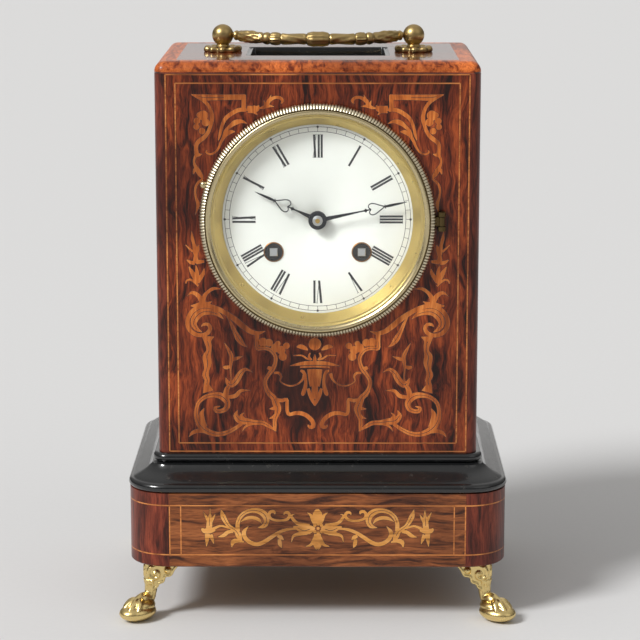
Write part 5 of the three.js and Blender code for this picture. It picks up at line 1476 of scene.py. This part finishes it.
class CLOCK_OT_marquetry(ClockOperator):
    """Scrolls and leaves inlaid round the dial and along the frieze"""
    bl_idname = "clock.marquetry"
    bl_label = "Marquetry"

    def build(self):
        inlay_field("front_marquetry", LOWER_SCROLLS + UPPER_SCROLLS,
                    LOWER_PETALS + UPPER_PETALS, FRONT_Y, "inlay")
        inlay_field("urn_marquetry", URN_SCROLLS, URN_PETALS, FRONT_Y, "inlay",
                    URN_SHIFT)
        plane = FRONT_Y - BASE_OUT
        inlay_field("frieze_marquetry", FRIEZE_SCROLLS, (), plane, "inlay_pale")
        make("frieze_flower", frieze_flower(plane, sizes().inlay_proud / MM + 0.02),
             ["inlay_pale", "kerf"], "case", merge=0.00001)


# ---- handle ----
BAIL_END = POST_X - BALL_R - 0.3
BAIL_BOW = 15.0             # how far the bail bows forward
BAIL_DROP = 2.7             # degrees below level, as it rests
BAIL_PIN_R = 1.3
ROSETTE_R = 9.15


def rosette(x):
    """Thick scalloped disc, hollowed in the middle under the ball."""
    shape = Shape()
    rows = [(0.93, 0.1), (0.99, 0.35), (1.0, 1.1), (0.985, 1.75), (0.94, 2.3), (0.87, 2.6),
            (0.79, 2.55), (0.71, 2.2), (0.66, 1.95), (0.6, 1.85), (0.24, 1.85)]
    loops = []
    for k, z in rows:
        loop = []
        for a in turns(120):
            lobe = 0.93 - 0.07 * math.cos(10 * a) if k > 0.7 else 0.93
            groove = 0.5 * (0.5 + 0.5 * math.cos(10 * a)) ** 2 if 0.7 < k < 0.97 else 0.0
            r = ROSETTE_R * k * lobe
            loop.append((x + r * math.cos(a), r * math.sin(a), TOP_Z + z - groove))
        loops.append(loop)
    shape.loft(loops, ends=True)
    return shape


def post(x):
    """A turned neck and a ball that the bail hangs in."""
    shape = Shape()
    rows = [(1.9, TOP_Z - 8), (1.9, TOP_Z + 2.12), (3.35, TOP_Z + 2.12), (3.38, TOP_Z + 2.4),
            (3.0, TOP_Z + 2.8), (2.85, TOP_Z + 3.1), (2.9, TOP_Z + 3.2)]
    rows += [(BALL_R * math.sin(math.radians(a)), BALL_Z - BALL_R * math.cos(math.radians(a)))
             for a in range(36, 180, 6)]
    rows += [(0.02, BALL_Z + BALL_R)]
    shape.loft([circle_xy(r, z, 48, x) for r, z in rows], ends=True)
    return shape


def bail_radius(x):
    """Radius of the bail at a distance from the middle: baluster, beads and leaf sheaths."""
    knots = ((0, 3.3), (2.2, 3.35), (4.6, 2.95), (5.3, 2.25), (6.1, 2.55), (10, 2.45), (16.3, 2.6),
             (16.9, 2.15), (17.4, 2.7), (19.2, 2.95), (21.2, 2.8), (21.7, 2.1), (22.4, 2.65),
             (23.3, 2.85), (24.3, 2.6), (24.8, 2.05), (26.2, 2.5), (31.6, 3.0), (35.4, 2.6),
             (36.9, 1.95), (37.6, 2.3), (38.6, 1.7))
    for (x0, r0), (x1, r1) in zip(knots, knots[1:]):
        if x <= x1:
            t = (x - x0) / (x1 - x0)
            t = t * t * (3 - 2 * t)
            return r0 + (r1 - r0) * t
    return 1.6


def bail():
    """Cast bail lying forward: fluted baluster in the middle and leafy arms to the posts."""
    bow = smooth_path([(-BAIL_END, -0.4, 0), (-BAIL_END + 4, -4, 0), (-BAIL_END + 11, -9.5, 0),
                       (-20, -BAIL_BOW + 1.2, 0), (-8, -BAIL_BOW, 0), (8, -BAIL_BOW, 0),
                       (20, -BAIL_BOW + 1.2, 0), (BAIL_END - 11, -9.5, 0),
                       (BAIL_END - 4, -4, 0), (BAIL_END, -0.4, 0)], 0.35)
    drop = Matrix.Rotation(math.radians(BAIL_DROP), 4, "X")
    lift = Matrix.Translation((0, 0, BALL_Z))
    up = Vector((0, 0, 1))
    loops = []
    for i, here in enumerate(bow):
        before, after = bow[max(i - 1, 0)], bow[min(i + 1, len(bow) - 1)]
        way = (after - before).normalized()
        side = Vector((-way.y, way.x, 0))
        x = abs(here.x)
        ring = []
        for a in turns(40):
            flute = 0.0
            if x < 4.6:
                flute = 0.05 * math.cos(10 * a)
            elif 6.1 < x < 16.3:
                flute = 0.06 * math.cos(5 * a + x * 0.6) - 0.03
            elif 17.4 < x < 21.2:
                flute = 0.06 * math.cos(12 * a) - 0.03
            elif 25.5 < x < 36.5:
                flute = 0.07 * math.cos(6 * a - x * 0.75) + 0.04 * math.cos(9 * a + x) - 0.05
            r = bail_radius(x) * (1 + flute)
            spot = here + side * (r * math.cos(a)) + up * (r * math.sin(a))
            spot.x = max(-BAIL_END, min(BAIL_END, spot.x))
            ring.append(tuple(lift @ (drop @ spot)))
        loops.append(ring)
    shape = Shape()
    shape.loft(loops, ends=True)
    for way in (-1, 1):
        pin = [[(way * x, BAIL_PIN_R * math.cos(a), BALL_Z + BAIL_PIN_R * math.sin(a))
                for a in turns(20)] for x in (BAIL_END - 1, BAIL_END + 3.6)]
        shape.loft(pin, ends=True)
    return shape


class CLOCK_OT_handle(ClockOperator):
    """Folding carrying handle on its two posts and rosettes"""
    bl_idname = "clock.handle"
    bl_label = "Handle"

    def build(self):
        for word, side in (("left", -1), ("right", 1)):
            make("rosette_" + word, rosette(side * POST_X), ["bronze"], "case",
                 ["handle_rosette_" + word], angle=50)
            make("post_" + word, post(side * POST_X), ["bronze"], "case",
                 ["handle_post_" + word], angle=40)
            finish_node("handle_nut_" + word, "movement")
        make("bail_cast", bail(), ["bronze"], "handle", ["handle_bail"], angle=60)


# ---- feet ----
FOOT_X, FOOT_Y = 78.65, 59.65         # middle of a foot's pad
# edge of a knee's wing: along the plinth's edge, then down
WING = ((0, 0.3), (-0.2, 5), (0.3, 10.5), (2.2, 13), (4.6, 11.4), (5.4, 9.8), (7.5, 8.9),
        (8.4, 6.4), (11.0, 5.8), (12.4, 3.3), (14.0, 1.4), (15.6, 0.3))


def blob(shape, at, size, count=14):
    """A rounded lump of the casting."""
    loops = []
    for i in range(count + 1):
        a = math.pi * i / count
        r = max(math.sin(a), 0.01)
        loops.append([tuple(Vector(at) + Vector((size[0] * r * math.cos(b),
                                                 size[1] * r * math.sin(b),
                                                 -size[2] * math.cos(a))))
                      for b in turns(2 * count)])
    shape.loft(loops, ends=True)


def limb(shape, points, count=18):
    """A round bar of changing thickness through (x, y, z, radius)."""
    where = [Vector(p[:3]) for p in points]
    loops = []
    for i, (here, spec) in enumerate(zip(where, points)):
        way = (where[min(i + 1, len(where) - 1)] - where[max(i - 1, 0)]).normalized()
        side = way.cross(Vector((0, 1, 0)) if abs(way.y) < 0.8 else Vector((1, 0, 0))).normalized()
        up = way.cross(side)
        loops.append([tuple(here + side * (spec[3] * math.cos(a)) + up * (spec[3] * math.sin(a)))
                      for a in turns(count)])
    shape.loft(loops, ends=True)


def bracket_wing(shape, side):
    """One scroll-edged wing of the knee, lying under one side of the plinth."""
    along = Vector((-0.7071, side * 0.7071, 0))
    out = Vector((0.7071, side * 0.7071, 0))
    apex = Vector((-0.5, 0, FOOT_TOP))

    def at(d, h, t):
        return tuple(apex + along * d + out * t - Vector((0, 0, h)))

    shape.loft([[at(d, h, t) for d, h in WING] for t in (-1.3, 0.7)], ends=True)
    limb(shape, spline([at(d, h, 0.5) + (0.62,) for d, h in WING[3:]], 4), 10)
    curl = []
    for i in range(17):
        a = math.radians(110 + 24 * i)
        r = 3.7 * (1 - i / 19)
        curl.append(at(3.9 + r * math.cos(a), 5.0 - r * math.sin(a), 0.9) + (0.85 - i * 0.02,))
    limb(shape, curl, 10)
    blob(shape, at(9.7, 3.4, 0.6), (1.6, 1.6, 1.6))
    blob(shape, at(3.9, 5.0, 0.9), (1.1, 1.1, 1.1))


def paw_foot():
    """One foot, made for a corner that looks toward +X: winged knee, slim leg, claw on a pad."""
    top = FOOT_TOP
    shape = Shape()
    flange = [[(x, y, z) for x, y in ((-17, -9), (-2, -2), (-2, 2), (-17, 9))]
              for z in (top - 2, top)]
    shape.loft(flange, ends=True)
    for side in (-1, 1):
        bracket_wing(shape, side)
    fixed = len(shape.corners)
    limb(shape, spline([(-8.4, 0, top - 1.5, 4.0), (-7.9, 0, top - 7, 3.5),
                        (-7.5, 0, top - 11, 2.7), (-7.1, 0, top - 14, 2.55),
                        (-5.4, 0, top - 17, 2.9), (-2.6, 0, 9.2, 3.2), (0.6, 0, 7.4, 3.6)], 6))
    for i in range(5):
        a = math.radians(-50 + 25 * i)
        rib = spline([(-7.6 + 3.3 * math.cos(a), 3.4 * math.sin(a), top - 8, 0.7),
                      (-7.4 + 2.6 * math.cos(a), 2.7 * math.sin(a), top - 12, 0.6),
                      (-6.4 + 2.7 * math.cos(a), 2.6 * math.sin(a), top - 15.6, 0.5),
                      (-3.6 + 3.0 * math.cos(a), 3.0 * math.sin(a), 9.8, 0.4)], 5)
        limb(shape, rib, 10)
    blob(shape, (1.2, 0, 4.0), (9.3, 7.2, 4.0), count=20)
    blob(shape, (-0.8, 0, 6.6), (7.2, 5.8, 3.4), count=18)
    for i in range(4):
        a = math.radians(-57 + 38 * i)
        c, s = math.cos(a), math.sin(a)
        limb(shape, spline([(-0.6 + 1.2 * c, 1.2 * s, 9.0, 1.7),
                            (0.4 + 3.2 * c, 3.4 * s, 8.6, 1.7),
                            (0.8 + 5.2 * c, 4.8 * s, 7.4, 1.35),
                            (1.0 + 6.7 * c, 5.8 * s, 6.2, 0.95),
                            (1.1 + 8.0 * c, 6.7 * s, 4.6, 0.4)], 5), 12)
    shape.corners[fixed:] = [(x + 4.0, y, z) for x, y, z in shape.corners[fixed:]]
    return shape


def fused(name, shape, voxel, smooth=2):
    """The lumps of a casting run together into one skin."""
    raw = show(name + "_raw", raw_mesh(name + "_raw", shape))
    face_outward(raw.data)
    melt = raw.modifiers.new("melt", "REMESH")
    melt.mode = "VOXEL"
    melt.voxel_size = voxel * MM
    soften = raw.modifiers.new("soften", "SMOOTH")
    soften.iterations = smooth
    graph = bpy.context.evaluated_depsgraph_get()
    skin = bpy.data.meshes.new_from_object(raw.evaluated_get(graph), depsgraph=graph)
    bpy.data.objects.remove(raw)
    out = Shape()
    out.add([tuple(v.co / MM) for v in skin.vertices], [tuple(p.vertices) for p in skin.polygons])
    return out


class CLOCK_OT_feet(ClockOperator):
    """Four cast paw feet, turned to the corners"""
    bl_idname = "clock.feet"
    bl_label = "Feet"

    def build(self):
        casting = fused("foot", paw_foot(), 0.3)
        casting.corners = [(x, y, max(z, 0.0)) for x, y, z in casting.corners]
        for node, sx, sy, angle in (("front_left_foot", -1, -1, 225),
                                    ("front_right_foot", 1, -1, 315),
                                    ("rear_left_foot", -1, 1, 135), ("rear_right_foot", 1, 1, 45)):
            turn = (Matrix.Translation((sx * FOOT_X, sy * FOOT_Y, 0))
                    @ Matrix.Rotation(math.radians(angle), 4, "Z"))
            make(node + "_cast", Shape().join(casting, turn), ["gilt"], "case", [node],
                 angle=80)


# ---- movement and door ----
BRASSWORK = ("movement_front_plate", "movement_pillar_plate", "movement_bracket_left",
             "movement_bracket_right", "going_barrel", "strike_barrel", "centre_wheel",
             "second_wheel", "third_wheel", "contrate_wheel", "escape_wheel", "balance_wheel",
             "balance_cock", "platform_plate", "minute_wheel", "hour_wheel", "strike_pin_wheel",
             "strike_fly", "back_door_hinge_lower", "back_door_hinge_upper", "back_door_knob")
STEELWORK = ("going_winding_arbor", "strike_winding_arbor", "cannon_pinion", "strike_hammer",
             "bell_stand")


class CLOCK_OT_works(ClockOperator):
    """Finishes of the movement, the bell and the small fittings"""
    bl_idname = "clock.works"
    bl_label = "Movement"

    def build(self):
        for node in BRASSWORK:
            finish_node(node, "movement")
        for node in STEELWORK:
            finish_node(node, "steel")
        finish_node("bell", "bronze")


class CLOCK_OT_door(ClockOperator):
    """Veneered back door"""
    bl_idname = "clock.door"
    bl_label = "Back door"

    def build(self):
        finish_node("back_door", "rosewood_side")


# ---- stage ----
BACKDROP = "dadada"
FLOOR_COLOURS = ("d6d6d6", "d2d2d2")
FLOOR_HALF = 20000
ROOM_COLOUR = (1.0, 0.985, 0.965, 1)
ROOM_LOW, ROOM_HIGH = 0.04, 0.50      # strength of the room at eye level and overhead
# a lamp: name, where it shines from, its width in degrees and its strength
LAMPS = (("key", (-0.78, -0.62, 0.84), 16, 2.75),)
# a soft box: where it stands, the cosines of its edge and of its full part, its strength
SOFTBOXES = (
    ((-0.65, -0.5, 0.75), 0.84, 0.94, 0.5),
    ((0.7, -0.6, 0.65), 0.90, 0.96, 0.4),
    ((0.1, 0.7, 0.8), 0.78, 0.95, 0.2),
    ((0.0, 1.0, 0.17), 0.90, 0.98, 0.5),
)
EYE = (0.00611, -1.10525, 0.35038)
EYE_DOWN, EYE_TURN = 11.401, 0.274    # degrees below level and to the side
LENS, SENSOR = 133.875, 36


def lay_floor():
    """A sheet of pale matt paper, far wider than the view."""
    paint = Paint("floor_paper")
    tint = paint.mix(paint.noise(400.0), linear(FLOOR_COLOURS[0]), linear(FLOOR_COLOURS[1]))
    ground = Shape()
    ground.add([(sx * FLOOR_HALF, sy * FLOOR_HALF, 0)
                for sx, sy in ((-1, -1), (1, -1), (1, 1), (-1, 1))], [(0, 1, 2, 3)])
    mesh = raw_mesh("floor", ground)
    mesh.materials.append(paint.skin(Base_Color=tint, Roughness=0.9))
    show("floor", mesh)


def light_room(scene):
    """A pale room with soft boxes in it: its light on the clock, and a plain backdrop."""
    world = bpy.data.worlds.new("room")
    world.use_nodes = True
    scene.world = world
    sky = world.node_tree
    sky.nodes.clear()
    toward = add_node(sky, "ShaderNodeTexCoord").outputs["Generated"]
    height = add_node(sky, "ShaderNodeSeparateXYZ", {"Vector": toward}).outputs["Z"]
    glow = add_node(sky, "ShaderNodeMapRange",
                    {"Value": height, "From Min": 0.0, "From Max": 0.9, "To Min": ROOM_LOW,
                     "To Max": ROOM_HIGH}).outputs["Result"]
    for at, edge, full, strength in SOFTBOXES:
        facing = add_node(sky, "ShaderNodeVectorMath",
                          {0: toward, 1: Vector(at).normalized()}, operation="DOT_PRODUCT")
        panel = add_node(sky, "ShaderNodeMapRange",
                         {"Value": facing.outputs["Value"], "From Min": edge, "From Max": full,
                          "To Min": 0.0, "To Max": strength}).outputs["Result"]
        glow = add_node(sky, "ShaderNodeMath", {0: glow, 1: panel},
                        operation="ADD").outputs["Value"]
    lit = add_node(sky, "ShaderNodeBackground", {"Color": ROOM_COLOUR, "Strength": glow})
    seen = add_node(sky, "ShaderNodeBackground", {"Color": linear(BACKDROP), "Strength": 1.0})
    path = add_node(sky, "ShaderNodeLightPath")
    direct = add_node(sky, "ShaderNodeMath", {0: path.outputs["Is Camera Ray"],
                                              1: path.outputs["Is Transmission Ray"]},
                      operation="MAXIMUM")
    both = add_node(sky, "ShaderNodeMixShader", {0: direct.outputs["Value"],
                                                 1: lit.outputs["Background"],
                                                 2: seen.outputs["Background"]})
    add_node(sky, "ShaderNodeOutputWorld", {"Surface": both.outputs["Shader"]})


def set_lamps():
    """The sun-like key lamp, from the upper left and in front."""
    for name, at, spread, power in LAMPS:
        data = bpy.data.lights.new(name, "SUN")
        data.angle = math.radians(spread)
        data.energy = power
        lamp = show(name, data)
        lamp.location = at
        lamp.rotation_euler = (-Vector(at)).to_track_quat("-Z", "Y").to_euler()


def set_camera(scene):
    """The photographer's eye: in front, a little above, and far off."""
    eye = bpy.data.cameras.new("camera")
    eye.sensor_width, eye.lens = SENSOR, LENS
    eye.clip_start, eye.clip_end = 0.01, 50
    camera = show("camera", eye)
    camera.location = EYE
    camera.rotation_euler = (math.radians(90 - EYE_DOWN), 0, math.radians(EYE_TURN))
    scene.camera = camera


class CLOCK_OT_stage(ClockOperator):
    """Pale floor, soft lamps and the camera"""
    bl_idname = "clock.stage"
    bl_label = "Stage"

    def build(self):
        scene = bpy.context.scene
        scene.view_settings.view_transform = "Standard"
        lay_floor()
        light_room(scene)
        set_lamps()
        set_camera(scene)


STEPS = (CLOCK_OT_case, CLOCK_OT_plinth, CLOCK_OT_lines, CLOCK_OT_marquetry, CLOCK_OT_bezel,
         CLOCK_OT_dial, CLOCK_OT_hands, CLOCK_OT_handle, CLOCK_OT_feet, CLOCK_OT_works,
         CLOCK_OT_door, CLOCK_OT_stage)


class CLOCK_PT_panel(bpy.types.Panel):
    """Lists the sizes, the colours and the steps"""
    bl_idname = "CLOCK_PT_panel"
    bl_label = "Inlaid mantel clock"
    bl_space_type = "VIEW_3D"
    bl_region_type = "UI"
    bl_category = "Clock"

    def draw(self, context):
        for group in (context.scene.clock_sizes, context.scene.clock_colours):
            box = self.layout.box()
            for key in group.__annotations__:
                box.prop(group, key)
        for step in STEPS:
            self.layout.operator(step.bl_idname)


CLASSES = (ClockSizes, ClockColours) + STEPS + (CLOCK_PT_panel,)


def register():
    for kind in CLASSES:
        bpy.utils.register_class(kind)
    bpy.types.Scene.clock_sizes = PointerProperty(type=ClockSizes)
    bpy.types.Scene.clock_colours = PointerProperty(type=ClockColours)


def unregister():
    del bpy.types.Scene.clock_colours
    del bpy.types.Scene.clock_sizes
    for kind in reversed(CLASSES):
        bpy.utils.unregister_class(kind)


def main():
    """Registers the add-on and takes its steps in order."""
    register()
    for step in STEPS:
        group, name = step.bl_idname.split(".")
        getattr(getattr(bpy.ops, group), name)()


if __name__ == "__main__":
    main()
